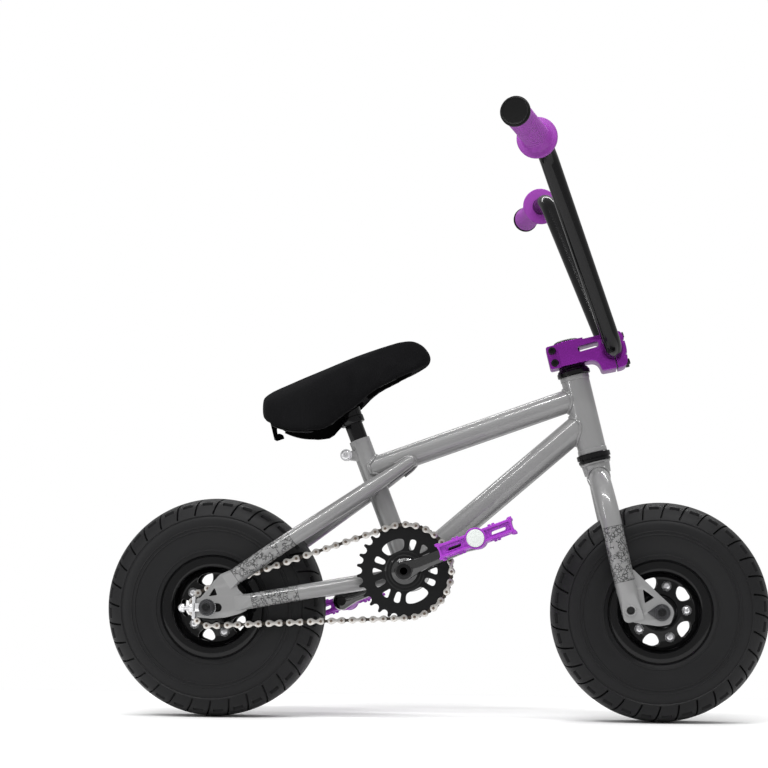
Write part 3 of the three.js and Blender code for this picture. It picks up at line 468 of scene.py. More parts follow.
def mottle_group():
    """Uneven colour and gloss: cloudy patches, and a fine grain for the surface's height."""
    group, entry, leave = node_group(
        "mottle",
        [("Vector", "NodeSocketVector"), ("Color", "NodeSocketColor"), ("Shade", "NodeSocketFloat"),
         ("Roughness", "NodeSocketFloat"), ("Roughness shift", "NodeSocketFloat"),
         ("Cloud scale", "NodeSocketFloat"), ("Grain scale", "NodeSocketFloat")],
        [("Color", "NodeSocketColor"), ("Roughness", "NodeSocketFloat"), ("Height", "NodeSocketFloat")])
    link = group.links.new
    cloud = group.nodes.new("ShaderNodeTexNoise")
    cloud.inputs["Detail"].default_value = 6
    link(entry.outputs["Vector"], cloud.inputs["Vector"])
    link(entry.outputs["Cloud scale"], cloud.inputs["Scale"])
    grain = group.nodes.new("ShaderNodeTexNoise")
    grain.inputs["Detail"].default_value = 3
    link(entry.outputs["Vector"], grain.inputs["Vector"])
    link(entry.outputs["Grain scale"], grain.inputs["Scale"])
    centred = math_node(group, "SUBTRACT", cloud.outputs["Fac"], 0.5)
    value = math_node(group, "ADD", math_node(group, "MULTIPLY", centred, entry.outputs["Shade"]), 1.0)
    tint = group.nodes.new("ShaderNodeHueSaturation")
    link(entry.outputs["Color"], tint.inputs["Color"])
    link(value, tint.inputs["Value"])
    shift = math_node(group, "MULTIPLY", centred, entry.outputs["Roughness shift"])
    rough = math_node(group, "ADD", entry.outputs["Roughness"], shift)
    link(tint.outputs["Color"], leave.inputs["Color"])
    link(rough, leave.inputs["Roughness"])
    link(grain.outputs["Fac"], leave.inputs["Height"])
    return group


def crackle_group():
    """A print of thin straight strokes that cross and break off: 1 on a stroke, 0 between them."""
    group, entry, leave = node_group(
        "crackle",
        [("Vector", "NodeSocketVector"), ("Scale", "NodeSocketFloat"), ("Width", "NodeSocketFloat")],
        [("Mask", "NodeSocketFloat")])
    link = group.links.new
    gaps = group.nodes.new("ShaderNodeTexNoise")
    set_inputs(gaps, {"Scale": 150, "Detail": 0})
    link(entry.outputs["Vector"], gaps.inputs["Vector"])
    gap_below, fade = 0.36, 9
    faded = math_node(group, "MULTIPLY", math_node(group, "SUBTRACT", gaps.outputs["Fac"], gap_below), fade)
    broken = math_node(group, "MINIMUM", faded, 1.0)
    masks = []
    for share, thin, tilt, stretch in ((1.0, 1.0, 0.5, (1, 1, 1.8)),
                                       (1.3, 1.2, -0.7, (1.8, 1, 1))):
        turned = group.nodes.new("ShaderNodeMapping")
        turned.inputs["Rotation"].default_value = (math.pi / 2, 0, tilt)
        turned.inputs["Scale"].default_value = stretch
        link(entry.outputs["Vector"], turned.inputs["Vector"])
        cells = group.nodes.new("ShaderNodeTexVoronoi")
        cells.voronoi_dimensions = "2D"
        cells.feature = "DISTANCE_TO_EDGE"
        link(turned.outputs[0], cells.inputs["Vector"])
        link(math_node(group, "MULTIPLY", entry.outputs["Scale"], share), cells.inputs["Scale"])
        limit = math_node(group, "MULTIPLY", math_node(group, "MULTIPLY", entry.outputs["Width"], thin),
                          broken)
        masks.append(math_node(group, "LESS_THAN", cells.outputs["Distance"], limit))
    link(math_node(group, "MAXIMUM", *masks), leave.inputs["Mask"])
    return group


def weave_group():
    """Woven cloth: crossed threads as a height, 0 in the gaps and 1 on the threads."""
    group, entry, leave = node_group(
        "weave",
        [("Vector", "NodeSocketVector"), ("Threads", "NodeSocketFloat")],
        [("Height", "NodeSocketFloat")])
    link = group.links.new
    parts = group.nodes.new("ShaderNodeSeparateXYZ")
    link(entry.outputs["Vector"], parts.inputs[0])
    waves = []
    for axis, other in (("X", "Y"), ("Y", "X")):
        run = math_node(group, "MULTIPLY", parts.outputs[axis], entry.outputs["Threads"])
        cross = math_node(group, "MULTIPLY", parts.outputs[other], entry.outputs["Threads"])
        lift = math_node(group, "SINE", math_node(group, "MULTIPLY", cross, 0.5))
        wave = math_node(group, "ABSOLUTE", math_node(group, "SINE", run))
        waves.append(math_node(group, "MULTIPLY", wave, math_node(group, "ABSOLUTE", lift)))
    link(math_node(group, "MAXIMUM", *waves), leave.inputs["Height"])
    return group


MOTTLE = mottle_group()
CRACKLE = crackle_group()
WEAVE = weave_group()


def placed(tree, group, values):
    """Puts a shared effect into a material, on Object coordinates and with this material's own values."""
    where = tree.nodes.new("ShaderNodeTexCoord")
    node = tree.nodes.new("ShaderNodeGroup")
    node.node_tree = group
    tree.links.new(where.outputs["Object"], node.inputs["Vector"])
    set_inputs(node, values)
    return node


def raised(tree, height, distance, strength=1.0):
    """Turns a height into a normal."""
    bump = tree.nodes.new("ShaderNodeBump")
    set_inputs(bump, {"Distance": distance, "Strength": strength})
    tree.links.new(height, bump.inputs["Height"])
    return bump


def finish(name, base, roughness, metallic=0.0, shade=0.3, rough_shift=0.1, cloud=30.0, grain=900.0,
           depth=0.00002, **shader):
    """A material with cloudy colour and gloss and a fine surface grain of that depth in metres."""
    material = bpy.data.materials.new(name)
    material.use_nodes = True
    tree = material.node_tree
    body = tree.nodes["Principled BSDF"]
    body.inputs["Metallic"].default_value = metallic
    set_inputs(body, {key.replace("_", " "): value for key, value in shader.items()})
    mottle = placed(tree, MOTTLE, {"Color": base, "Shade": shade, "Roughness": roughness,
                                   "Roughness shift": rough_shift, "Cloud scale": cloud,
                                   "Grain scale": grain})
    bump = raised(tree, mottle.outputs["Height"], depth)
    tree.links.new(mottle.outputs["Color"], body.inputs["Base Color"])
    tree.links.new(mottle.outputs["Roughness"], body.inputs["Roughness"])
    tree.links.new(bump.outputs["Normal"], body.inputs["Normal"])
    return material


def grey_paint(name):
    """The glossy grey paint of frame and fork."""
    return finish(name, colour(119, 119, 119), 0.3, shade=0.06, grain=350, Coat_Weight=0.9,
                  Coat_Roughness=0.04)


frame_paint = grey_paint("frame_paint")
black_gloss = finish("black_gloss", colour(9, 9, 10), 0.2, depth=0.000008, Specular_IOR_Level=0.08,
                     Coat_Weight=0.36, Coat_Roughness=0.05)
arm_gloss = finish("arm_gloss", colour(12, 12, 13), 0.16, depth=0.000006, Specular_IOR_Level=0.5,
                   Coat_Weight=1.0, Coat_Roughness=0.04)
black_metal = finish("black_metal", colour(11, 11, 12), 0.34, Specular_IOR_Level=0.14, Coat_Weight=0.25,
                     Coat_Roughness=0.1)
nut_metal = finish("nut_metal", colour(58, 58, 60), 0.3, metallic=0.5)
seat_plastic = finish("seat_plastic", colour(6, 6, 6), 0.5, grain=1400, depth=0.00001, Specular_IOR_Level=0.0)
black_plastic = finish("black_plastic", colour(13, 13, 13), 0.42, grain=1400, depth=0.00004,
                       Specular_IOR_Level=0.15)
tyre_rubber = finish("tyre_rubber", colour(21, 21, 22), 0.5, rough_shift=0.2, cloud=22, grain=700,
                     depth=0.00006, Specular_IOR_Level=0.2)
purple_metal = finish("purple_metal", colour(138, 40, 158), 0.26, metallic=0.75, grain=600)
purple_rubber = finish("purple_rubber", colour(134, 48, 150), 0.5, grain=1100, depth=0.00012)
purple_plastic = finish("purple_plastic", colour(148, 48, 174), 0.4, shade=0.15, grain=1000, depth=0.00003)
bright_steel = finish("bright_steel", colour(228, 228, 230), 0.14, metallic=0.65, shade=0.08, cloud=60,
                      grain=500, depth=0.00001)
chain_steel = finish("chain_steel", colour(198, 195, 191), 0.3, metallic=1.0, shade=0.25, cloud=120)
# Painted shade: the inner plates and rollers get this dark colour for the shade between the outer plates.
chain_painted_shade = finish("chain_painted_shade", colour(62, 56, 50), 0.45, metallic=0.8, cloud=120)
chain_pin = finish("chain_pin", colour(112, 100, 90), 0.4, metallic=0.9, cloud=120)
white_plastic = finish("white_plastic", colour(202, 207, 204), 0.35, shade=0.04, grain=800, depth=0.00001)
# Black for the printed lines at the ends of the bands, and painted shade inside the fork's openings.
print_and_hole_shade_black = finish("print_and_hole_shade_black", colour(8, 8, 8), 0.5)


def crackled(name):
    """The frame's paint under a band of black line print."""
    material = grey_paint(name)
    tree = material.node_tree
    base = tree.nodes["Principled BSDF"].inputs["Base Color"]
    crackle = placed(tree, CRACKLE, {"Scale": 130, "Width": 0.07})
    mix = tree.nodes.new("ShaderNodeMix")
    mix.data_type = "RGBA"
    tree.links.new(crackle.outputs["Mask"], mix.inputs["Factor"])
    tree.links.new(base.links[0].from_socket, mix.inputs["A"])
    mix.inputs["B"].default_value = colour(20, 20, 20)
    tree.links.new(mix.outputs["Result"], base)
    return material


def woven(name):
    """Matt black woven cloth."""
    material = finish(name, colour(21, 21, 22), 0.92, shade=0.35, cloud=45, grain=1800, depth=0.00003,
                      Specular_IOR_Level=0.0, Sheen_Weight=0.03, Sheen_Roughness=0.4)
    tree = material.node_tree
    normal = tree.nodes["Principled BSDF"].inputs["Normal"]
    weave = placed(tree, WEAVE, {"Threads": 5200})
    threads = raised(tree, weave.outputs["Height"], 0.00015, 0.7)
    tree.links.new(normal.links[0].from_socket, threads.inputs["Normal"])
    tree.links.new(threads.outputs["Normal"], normal)
    return material


crackle_paint = crackled("crackle_paint")
seat_cloth = woven("seat_cloth")


# ---------------------------------------------------------------- lines worked out
def pointing(way):
    """The turn that lays local Z along the given way."""
    return Vector(way).normalized().to_track_quat("Z", "Y").to_matrix().to_4x4()


def curved(corners, steps):
    """Points on a smooth line through the corners."""
    corners = [Vector(c) for c in corners]
    ends = [corners[0] * 2 - corners[1], *corners, corners[-1] * 2 - corners[-2]]
    points = []
    for a, b, c, d in zip(ends, ends[1:], ends[2:], ends[3:]):
        for i in range(steps):
            t = i / steps
            points.append(0.5 * (2 * b + (c - a) * t + (2 * a - 5 * b + 4 * c - d) * t ** 2
                                 + (3 * b - a - 3 * c + d) * t ** 3))
    return [*points, corners[-1]]


def facing(points, side):
    """The points on the rider's left, or mirrored to the right where side is -1."""
    return [(x, side * y, z) for x, y, z in points]


# ---------------------------------------------------------------- wheels
def tyre(name, axle):
    """The tyre's carcass with its sidewall rings, then the tread cut into its crown and shoulders."""
    crown = curved([(0, 134.5, 0), (10, 134.2, 0), (20, 132.3, 0), (28.4, 129, 0), (34, 124.4, 0),
                    (38.7, 118, 0), (41.4, 112.4, 0)], 3)
    wall = curved([(40.4, 111, 0), (42, 107.5, 0), (43, 101, 0), (42.6, 93, 0), (41.2, 83, 0),
                   (39.4, 74.5, 0), (39.2, 69.5, 0), (37, 64.4, 0)], 3)
    outside = [tuple(p[:2]) for p in (*crown, *wall)]
    foot = [(33.2, 62.8), (33.2, 51.1), (27.2, 51.1), (31, 70), (34, 85), (34.2, 104), (27, 117), (13, 123)]
    half = [*outside, *foot]
    o = ring_lathe([*half, *[(-y, r) for y, r in reversed(half[1:])]], 192)
    shoulder = [(y, r) for y, r in outside if 9 < y and r > 112]
    deep = [(y - 2.0, r - 2.4) for y, r in shoulder]
    proud = [(y + 4, r + 4) for y, r in reversed(shoulder)]
    cutters = []
    grooves = 32
    groove_width = 2.3
    lean = Matrix.Rotation(math.radians(106), 4, "Z")
    dash_turn = math.pi / grooves - math.radians(3.9)
    for i in range(grooves):
        for side in (1, -1):
            groove = moved(plate([*deep, *proud], groove_width, edge=0.01), lean)
            dash = moved(block((-6.2, 28.6, 122), (6.2, 33.2, 134)), Matrix.Rotation(dash_turn, 4, "Y"))
            pair = on_side(together(groove, dash), side)
            turn = math.tau * (i + (0.5 if side < 0 else 0)) / grooves
            cutters.append(moved(pair, Matrix.Rotation(turn, 4, "Y")))
    for side in (1, -1):
        line = ring_lathe([(3.5, 132), (5.5, 132), (5.5, 137), (3.5, 137)], 96)
        cutters.append(moved(line, ALONG_Y @ Matrix.Scale(side, 4, UP)))
    moved(o, ALONG_Y)
    for group in (cutters[-2:], cutters[:-2:2], cutters[1:-2:2]):
        cut(o, together(*group))
    for radius, out in ((98.5, 42.8), (94.4, 42.7), (69.5, 39.1)):
        for way in (1, -1):
            bpy.ops.object.select_all(action="DESELECT")
            bpy.ops.mesh.primitive_torus_add(major_radius=radius, minor_radius=0.9, major_segments=128,
                                             minor_segments=8)
            o = together(o, moved(settled(), Matrix.Translation((0, way * out, 0)) @ ALONG_Y))
    piece(o, f"{name}_tyre_tread", f"{name}_wheel", "tyre_rubber", tyre_rubber, f"{name}_tyre",
          f"{name}_inner_tube", matrix=Matrix.Translation(axle), angle=32)


def rim_window(turn):
    """One rounded window between two bolts, blunt at one end, as a flat outline."""
    corners = [(27.2, -9.6), (35, -17.4), (43.4, -16.5), (43.6, 4), (39, 16.5), (29, 9.6)]
    flat = []
    for radius, degrees in corners:
        way = turn + math.radians(degrees)
        flat.append(polar(radius, way))
    return rounded(flat, 4.6, 6)


def rim(name, axle, phase, side, half_name):
    """One stamped half of the rim: disc, well and rolled lip."""
    inner = RIM_SEAT - 2.2
    profile = [(DISC_OUT - 1.4, 20.4), (DISC_OUT - 1.4, inner - 4), (DISC_OUT - 4, inner - 0.6), (0.4, inner),
               (0.4, RIM_SEAT - 0.1), (32, RIM_SEAT - 0.1), (33.2, RIM_SEAT + 1.2), (33.4, RIM_LIP - 1.6),
               (33.9, RIM_LIP - 0.4), (34.9, RIM_LIP), (35.7, RIM_LIP - 0.5), (36, RIM_LIP - 1.6),
               (36, RIM_SEAT + 1.5), (35.5, RIM_SEAT - 0.6), (34, inner - 0.1), (DISC_OUT + 7, inner - 0.6),
               (DISC_OUT + 3.6, inner - 2), (DISC_OUT + 1.9, inner - 5), (DISC_OUT + 1.4, inner - 7.4),
               (DISC_OUT + 1.4, 27.5), (DISC_OUT + 1.9, 26.6), (DISC_OUT + 1.9, 20.4)]
    o = moved(ring_lathe(profile, 128), ALONG_Y)
    windows = []
    for i in range(BOLTS):
        turn = math.tau * (i + 0.5) / BOLTS
        windows.append(plate(rim_window(turn + phase), 12, edge=0.01, at_y=DISC_OUT))
    cut(o, together(*windows))
    bevelled(on_side(o, side), 0.7, 2, 50)
    piece(o, f"{name}_rim_half_{half_name}", f"{name}_wheel", "black_gloss", black_gloss,
          f"{name}_rim_{half_name}", matrix=Matrix.Translation(axle))


def rim_bolts(name, axle, phase):
    """Five domed socket bolts through both discs, each with a washer and a nut inside."""
    seat = DISC_OUT + 1.4
    for i in range(BOLTS):
        head = lathe([(seat, 0), (seat, 6.1), (seat + 0.8, 6.1), (seat + 1.4, 5.6), (seat + 3, 4.9),
                      (seat + 4.2, 3.5), (seat + 4.6, 2.5), (seat + 4.6, 0)], 32)
        moved(head, ALONG_Y @ UPSIDE_DOWN)
        hexagon = moved(rod((0, 0, -3), (0, 0, 3), 1.6, sides=6),
                        Matrix.Translation((0, -seat - 4.6, 0)) @ ALONG_Y)
        cut(head, hexagon)
        shank = rod((0, -seat - 0.5, 0), (0, seat + 5, 0), 2.4, sides=24)
        nut = rod((0, seat, 0), (0, seat + 4, 0), 4.7, sides=6)
        washer = rod((0, seat - 0.1, 0), (0, seat + 0.7, 0), 5.6, sides=32)
        o = together(head, shank, bevelled(nut, 0.5), washer)
        turn = phase + math.tau * i / BOLTS
        at = axle + Vector((BOLT_CIRCLE * math.cos(turn), 0, BOLT_CIRCLE * math.sin(turn)))
        piece(o, f"{name}_bolt_{i + 1}", f"{name}_wheel", "bright_steel", bright_steel,
              f"{name}_rim_bolt_{i + 1}", matrix=Matrix.Translation(at))


def hub(name, axle, right_end, left_end):
    """A turned hub with a flange behind each rim disc and a dust cap at each end."""
    def half_profile(end):
        return [(0, 16), (8, 16), (9.5, 19.8), (DISC_OUT - 4.6, 20), (DISC_OUT - 4.4, 25.4),
                (DISC_OUT - 3.8, 26), (DISC_OUT - 1.9, 26), (DISC_OUT - 1.6, 25.4), (DISC_OUT - 1.6, 20),
                (end - 14, 19.6), (end - 12, 18.6), (end - 6, 16.4), (end - 5.4, 17), (end - 2, 17),
                (end - 1, 16.2), (end - 0.7, 12), (end - 1.6, 11.4), (end - 1.6, 8), (end, 7.4), (end, 5.2)]
    profile = [*half_profile(left_end), *[(-y, r) for y, r in reversed(half_profile(right_end)[1:])]]
    o = moved(ring_lathe(profile, 64), ALONG_Y)
    piece(o, f"{name}_hub_shell", f"{name}_wheel", "black_gloss", black_metal, f"{name}_hub",
          matrix=Matrix.Translation(axle))


def axle_rod(name, axle, body, seat):
    """The axle, threaded at both ends."""
    turns = 8
    start, length = seat + 1, seat + 11
    threads = []
    for i in range(turns + 1):
        y = start + i * (length - 1.2 - start) / turns
        threads += [(y, 5.0), (y + 0.55, 4.4)]
    half = [*threads, (length - 0.4, 4.4), (length, 3.9), (length, 1.4), (length - 1.2, 0)]
    profile = [*[(-y, r) for y, r in reversed(half)], *half]
    piece(moved(lathe(profile, 32), ALONG_Y), f"{name}_axle_rod", body, "black_gloss", black_metal,
          f"{name}_axle", matrix=Matrix.Translation(axle), angle=25)


def knurled(count, tip, root):
    """A flat outline of that many blunt teeth."""
    outline = []
    for i in range(count):
        for radius, share in ((tip, 0), (root, 0.5)):
            turn = math.tau * (i + share) / count
            outline.append(polar(radius, turn))
    return outline


def axle_set(name, axle, body, plate_out, washer):
    """The threaded axle and a flanged nut at each end, with its washer."""
    seat = plate_out + washer + 0.2
    axle_rod(name, axle, body, seat)
    for half_name, side in SIDES:
        flange = plate(knurled(24, 10.6, 10.1), 2, holes=[ring_points(5.2, 24)], edge=0.3, at_y=seat + 1)
        nut = rod((0, seat + 1.5, 0), (0, seat + 8.5, 0), 8.9, sides=6)
        dome = moved(lathe([(seat + 1, 0), (seat + 1, 9.4), (seat + 6.4, 9.1), (seat + 7.6, 7.6),
                            (seat + 7.6, 6.9), (seat + 8.5, 6.6), (seat + 8.5, 0)], 48), ALONG_Y)
        boolean(nut, [dome], "INTERSECT")
        cut(nut, rod((0, seat - 5, 0), (0, seat + 12, 0), 5.1, sides=32))
        o = together(flange, bevelled(nut, 0.35))
        if name == "front":
            tab = rounded([(-17, 4, 1), (-5, -9.4, 6), (9, -9, 8), (9, 9, 8), (-3, 10, 6)], 2, 5)
            safety = plate(tab, 1.4, [ring_points(5.4, 24)], edge=0.3, at_y=seat + 0.5)
            o = together(o, moved(safety, STEERED.to_3x3().to_4x4()))
        piece(on_side(o, side), f"{name}_nut_{half_name}", body, "black_gloss", nut_metal,
              f"{name}_axle_nut_{half_name}", matrix=Matrix.Translation(axle))


def wheel(name, axle, phase, right_end, left_end):
    """A whole wheel; the phase turns its bolts, and the ends are its hub's on each side."""
    tyre(name, axle)
    for half_name, side in SIDES:
        rim(name, axle, phase, side, half_name)
    rim_bolts(name, axle, phase)
    hub(name, axle, right_end, left_end)


wheel("rear", REAR_AXLE, math.radians(148), CHAIN_OUT - 1.3 - 2.5, DROPOUT_OUT - PLATE_THICK / 2 - 2)
wheel("front", FRONT_AXLE, math.radians(4), LEG_OUT - PLATE_THICK / 2 - 2, LEG_OUT - PLATE_THICK / 2 - 2)
axle_set("rear", REAR_AXLE, "frame", DROPOUT_OUT + PLATE_THICK / 2, 2.4)
axle_set("front", FRONT_AXLE, "fork", LEG_OUT + PLATE_THICK / 2, 0)


# ---------------------------------------------------------------- chain and sprockets
def pitch_radius(teeth):
    """The radius at which a sprocket with that many teeth holds the chain's pins."""
    return PITCH / (2 * math.sin(math.pi / teeth))


def chain_plan():
    """The chain's pins in X and Z, going round, and the turns at which both sprockets hold them."""
    ring, cog = pitch_radius(RING_TEETH), pitch_radius(COG_TEETH)
    gap = BRACKET - REAR_AXLE
    apart = math.hypot(gap.x, gap.z)
    lean = math.asin((ring - cog) / apart)
    rise = math.atan2(gap.z, gap.x)
    span = math.sqrt(apart ** 2 - (ring - cog) ** 2) / PITCH
    on_ring = RING_TEETH * (math.pi + 2 * lean) / math.tau
    on_cog = COG_TEETH * (math.pi - 2 * lean) / math.tau
    ring_start = rise + lean + math.pi / 2
    cog_start = rise - lean - math.pi / 2

    def on_circle(centre, radius, angle):
        return Vector((centre.x + radius * math.cos(angle), 0, centre.z + radius * math.sin(angle)))

    def at(place):
        """The point that many links on, going round from the upper run's front end."""
        if place < on_ring:
            return on_circle(BRACKET, ring, ring_start - math.tau * place / RING_TEETH)
        place -= on_ring
        if place < span:
            start, end = on_circle(BRACKET, ring, cog_start), on_circle(REAR_AXLE, cog, cog_start)
            return start.lerp(end, place / span)
        place -= span
        if place < on_cog:
            return on_circle(REAR_AXLE, cog, cog_start - math.tau * place / COG_TEETH)
        start, end = on_circle(REAR_AXLE, cog, ring_start), on_circle(BRACKET, ring, ring_start)
        return start.lerp(end, min((place - on_cog) / span, 1))

    ring_phase = ring_start - math.tau * 0.5 / RING_TEETH
    first = math.ceil(on_ring + span - 0.5) + 0.5 - on_ring - span
    return [at(i + 0.5) for i in range(LINKS)], ring_phase, cog_start - math.tau * first / COG_TEETH


PINS, RING_PHASE, COG_PHASE = chain_plan()


def toothed(teeth, phase):
    """A sprocket's outline: round gaps for the rollers and blunt tips between them."""
    radius = pitch_radius(teeth)
    gap_radius = 4.25
    tip_width = 3.0
    outline = []
    for i in range(teeth):
        gap = phase + math.tau * i / teeth
        centre = Vector((math.cos(gap), math.sin(gap))) * radius
        for k in range(-4, 5):
            way = gap + math.pi + math.radians(k * 21)
            outline.append((centre.x + gap_radius * math.cos(way), centre.y + gap_radius * math.sin(way)))
        tip = gap + math.pi / teeth
        half = tip_width / 2 / (radius + 3.6)  # as an angle
        for share, reach in ((-1, 1.7), (-0.5, 2.3), (0.5, 2.3), (1, 1.7)):
            turn = tip + share * half
            outline.append(polar(radius + reach, turn))
    return sorted(outline, key=lambda p: math.atan2(p[1], p[0]))


def ring_window(middle, corners, reach):
    """A rounded opening in the chainring; corners given in degrees from its middle and shares of the web."""
    web_inside, web_wide = 25.6, 15
    flat = []
    for turn, share in corners:
        radius = web_inside + share * web_wide
        angle = math.radians(middle + turn)
        flat.append(polar(radius, angle))
    return rounded(flat, reach, 4)


def chainring():
    """The toothed disc with its windows in two matching halves, and the stepped ring round the spindle."""
    bean = [(-23, 0.15), (-24, 0.9), (-12, 1), (0, 1), (12, 1), (24, 0.9), (23, 0.15), (11, 0), (0, 0),
            (-11, 0)]
    slot = [(-6.5, 0.05), (-6, 0.95), (6, 0.95), (6.5, 0.05)]
    triangle = [(-7.5, 0.95), (7.5, 0.95), (0, 0.05)]
    holes = [ring_points(9.7, 32)]
    for half in (0, 180):
        holes.append(ring_window(116 + half, bean, 5))
        for middle in (158, 206, 255):
            holes.append(ring_window(middle + half, slot, 4))
        for middle in (181, 231):
            holes.append(ring_window(middle + half, triangle, 4))
    flat = plate(toothed(RING_TEETH, RING_PHASE), 2.6, holes, edge=0.45)
    face = ring_lathe([(1.2, 24.6), (1.9, 24.2), (2.4, 23), (2.4, 20), (2.9, 19), (2.9, 14)], 64)
    o = together(flat, moved(face, ALONG_Y @ UPSIDE_DOWN))
    piece(o, "chainring_disc", "crank", "black_gloss", black_metal, "chainring",
          matrix=Matrix.Translation((BRACKET.x, -CHAIN_OUT, BRACKET.z)), angle=16)


def cog():
    """The rear cog with the driver's barrel that it sits on."""
    flat = plate(toothed(COG_TEETH, COG_PHASE), 2.6, [ring_points(5.2, 24)], edge=0.4)
    driver = moved(ring_lathe([(-3.2, 5.2), (-3.2, 11), (-2.6, 13), (4, 13), (4.4, 12.4), (4.4, 5.2)], 48),
                   ALONG_Y)
    piece(together(flat, driver), "cog_wheel", "driver", "bright_steel", black_metal, "rear_cog",
          matrix=Matrix.Translation((REAR_AXLE.x, -CHAIN_OUT, REAR_AXLE.z)))


def link_outline(waist, end):
    """A chain side plate: two round ends and a narrow waist."""
    half = PITCH / 2
    points = []
    for side in (1, -1):
        for k in range(-5, 6):
            way = math.radians(k * 24) + (0 if side > 0 else math.pi)
            points.append((side * half + end * math.cos(way), end * math.sin(way)))
        points += [(side * 1.2, side * waist), (-side * 1.2, side * waist)]
    return points


def painted(o, material):
    """Gives a part its material before it is joined, so that the join keeps it."""
    o.data.materials.append(material)
    return o


def side_plates(waist, end, thick, edge, out, material):
    """The two plates of one link, that far out from its middle."""
    outline = link_outline(waist, end)
    return [painted(plate(outline, thick, edge=edge, at_y=way * out), material) for way in (1, -1)]


def chain():
    """Bright figure-of-eight outer links with dark pins, and inner links and rollers painted dark as painted
    shade between the outer plates.
    """
    wide = side_plates(1.9, 4.2, 1.05, 0.25, 3.85, chain_steel)
    for way in (1, -1):
        pin = rod((way * PITCH / 2, -4.9, 0), (way * PITCH / 2, 4.9, 0), 1.75, sides=20)
        wide.append(painted(bevelled(pin, 0.3), chain_pin))
    outer = together(*wide)
    # The inner plates, and the rollers joined to them, take the painted shade colour.
    narrow = side_plates(1.7, 3.5, 1.0, 0.22, 2.7, chain_painted_shade)
    for way in (1, -1):
        narrow.append(rod((way * PITCH / 2, -2.3, 0), (way * PITCH / 2, 2.3, 0), 3.5, sides=24))
    inner = together(*narrow)
    links = []
    for i, pin in enumerate(PINS):
        after = PINS[(i + 1) % LINKS]
        middle = (pin + after) / 2
        turn = math.atan2(after.z - pin.z, after.x - pin.x)
        link = copied(outer if i % 2 else inner)
        place = Matrix.Translation((middle.x, -CHAIN_OUT, middle.z)) @ Matrix.Rotation(-turn, 4, "Y")
        links.append(moved(link, place))
    bpy.data.objects.remove(outer)
    bpy.data.objects.remove(inner)
    o = together(*links)
    piece(o, "chain_links", "frame", "chain_steel", o.data.materials[0], "chain")


chainring()
cog()
chain()


# ---------------------------------------------------------------- cranks and pedals
def crank_arm(name, side):
    """A flat arm with round ends, its boss on the spindle and a lip round the pedal's hole."""
    along = PEDALS[name] - BRACKET
    along.y = 0
    along.normalize()
    across = Vector((-along.z, 0, along.x))

    def at(x, z):
        spot = along * x + across * z
        return (spot.x, spot.z)

    outline = []
    end_radius = 11.5
    for centre, start in ((CRANK_LENGTH, -90), (0, 90)):
        for k in range(13):
            turn = math.radians(start + 15 * k)
            outline.append(at(centre + end_radius * math.cos(turn), end_radius * math.sin(turn)))
        if centre:
            outline += [at(CRANK_LENGTH - 17, 8.2), at(20, 8.6)]
        else:
            outline += [at(20, -8.6), at(CRANK_LENGTH - 17, -8.2)]
    thick = CRANK_OUTER - CRANK_INNER
    eye = at(CRANK_LENGTH, 0)
    arm = plate(outline, thick, edge=3.6, at_y=CRANK_INNER + thick / 2)
    near = SHELL_HALF + 8 if side > 0 else CHAIN_OUT + 1.5
    boss = moved(ring_lathe([(near, 9.7), (near, 15), (near + 1, 16), (CRANK_INNER - 1, 16),
                             (CRANK_INNER + 1.5, 12), (CRANK_OUTER + 0.2, 11.2), (CRANK_OUTER + 1, 10.4),
                             (CRANK_OUTER + 1, 8.2), (CRANK_OUTER, 7.8), (CRANK_OUTER, 0), (near, 0)], 64),
                 ALONG_Y)
    lip = moved(ring_lathe([(CRANK_OUTER - 1, 6.3), (CRANK_OUTER - 1, 9), (CRANK_OUTER + 0.1, 9),
                            (CRANK_OUTER + 0.5, 8.5), (CRANK_OUTER + 0.5, 6.3)], 48),
                Matrix.Translation((eye[0], 0, eye[1])) @ ALONG_Y)
    o = on_side(together(arm, boss, lip), side)
    piece(o, f"crank_{name}_arm", "crank", "black_gloss", arm_gloss, f"crank_arm_{name}",
          matrix=Matrix.Translation(BRACKET))


def spindle():
    """The spindle, with a shallow recess in each end that shows in the arms."""
    end = CRANK_OUTER + 2
    half = [(end - 6, 9.4), (end - 1.5, 9.4), (end - 0.4, 8.8), (end, 7.8), (end, 4.6), (end - 3, 4.2),
            (end - 3, 0)]
    profile = [*[(-y, r) for y, r in reversed(half)], *half]
    piece(moved(lathe(profile, 48), ALONG_Y), "crank_bolt_rod", "crank", "black_gloss", black_metal,
          "crank_spindle", matrix=Matrix.Translation(BRACKET), angle=30)


def bracket_cups():
    """A notched cup in each end of the bottom bracket's shell."""
    notches = 12
    thick = 3.5
    face = SHELL_HALF + 0.2
    outline = []
    for i in range(notches):
        for share, radius in ((0, 23.2), (0.55, 23.2), (0.6, 20.8), (0.95, 20.8)):
            turn = math.tau * (i + share) / notches
            outline.append(polar(radius, turn))
    for name, side in SIDES:
        o = on_side(plate(outline, thick, [ring_points(9.8, 32)], edge=0.4, at_y=face + thick / 2), side)
        piece(o, f"bracket_cup_{name}", "frame", "black_gloss", black_metal, f"bb_cup_{name}",
              matrix=Matrix.Translation(BRACKET))


def pedal_stud(x, y, way):
    """A stepped pin that keeps the shoe in place, above or below the platform."""
    stud = lathe([(7.4, 0), (7.4, 2.1), (9.2, 2.0), (9.9, 1.4), (9.9, 0)], 16)
    return moved(stud, Matrix.Translation((x, y, 0)) @ Matrix.Scale(way, 4, UP))


def pedal_box(low_x, high_x, half_z, reach, steps, way):
    """A rounded oblong in the pedal's front half, or turned to its rear half where way is -1."""
    corners = [(low_x, -half_z), (high_x, -half_z), (high_x, half_z), (low_x, half_z)]
    return [(way * x, way * z) for x, z in rounded(corners, reach, steps)]


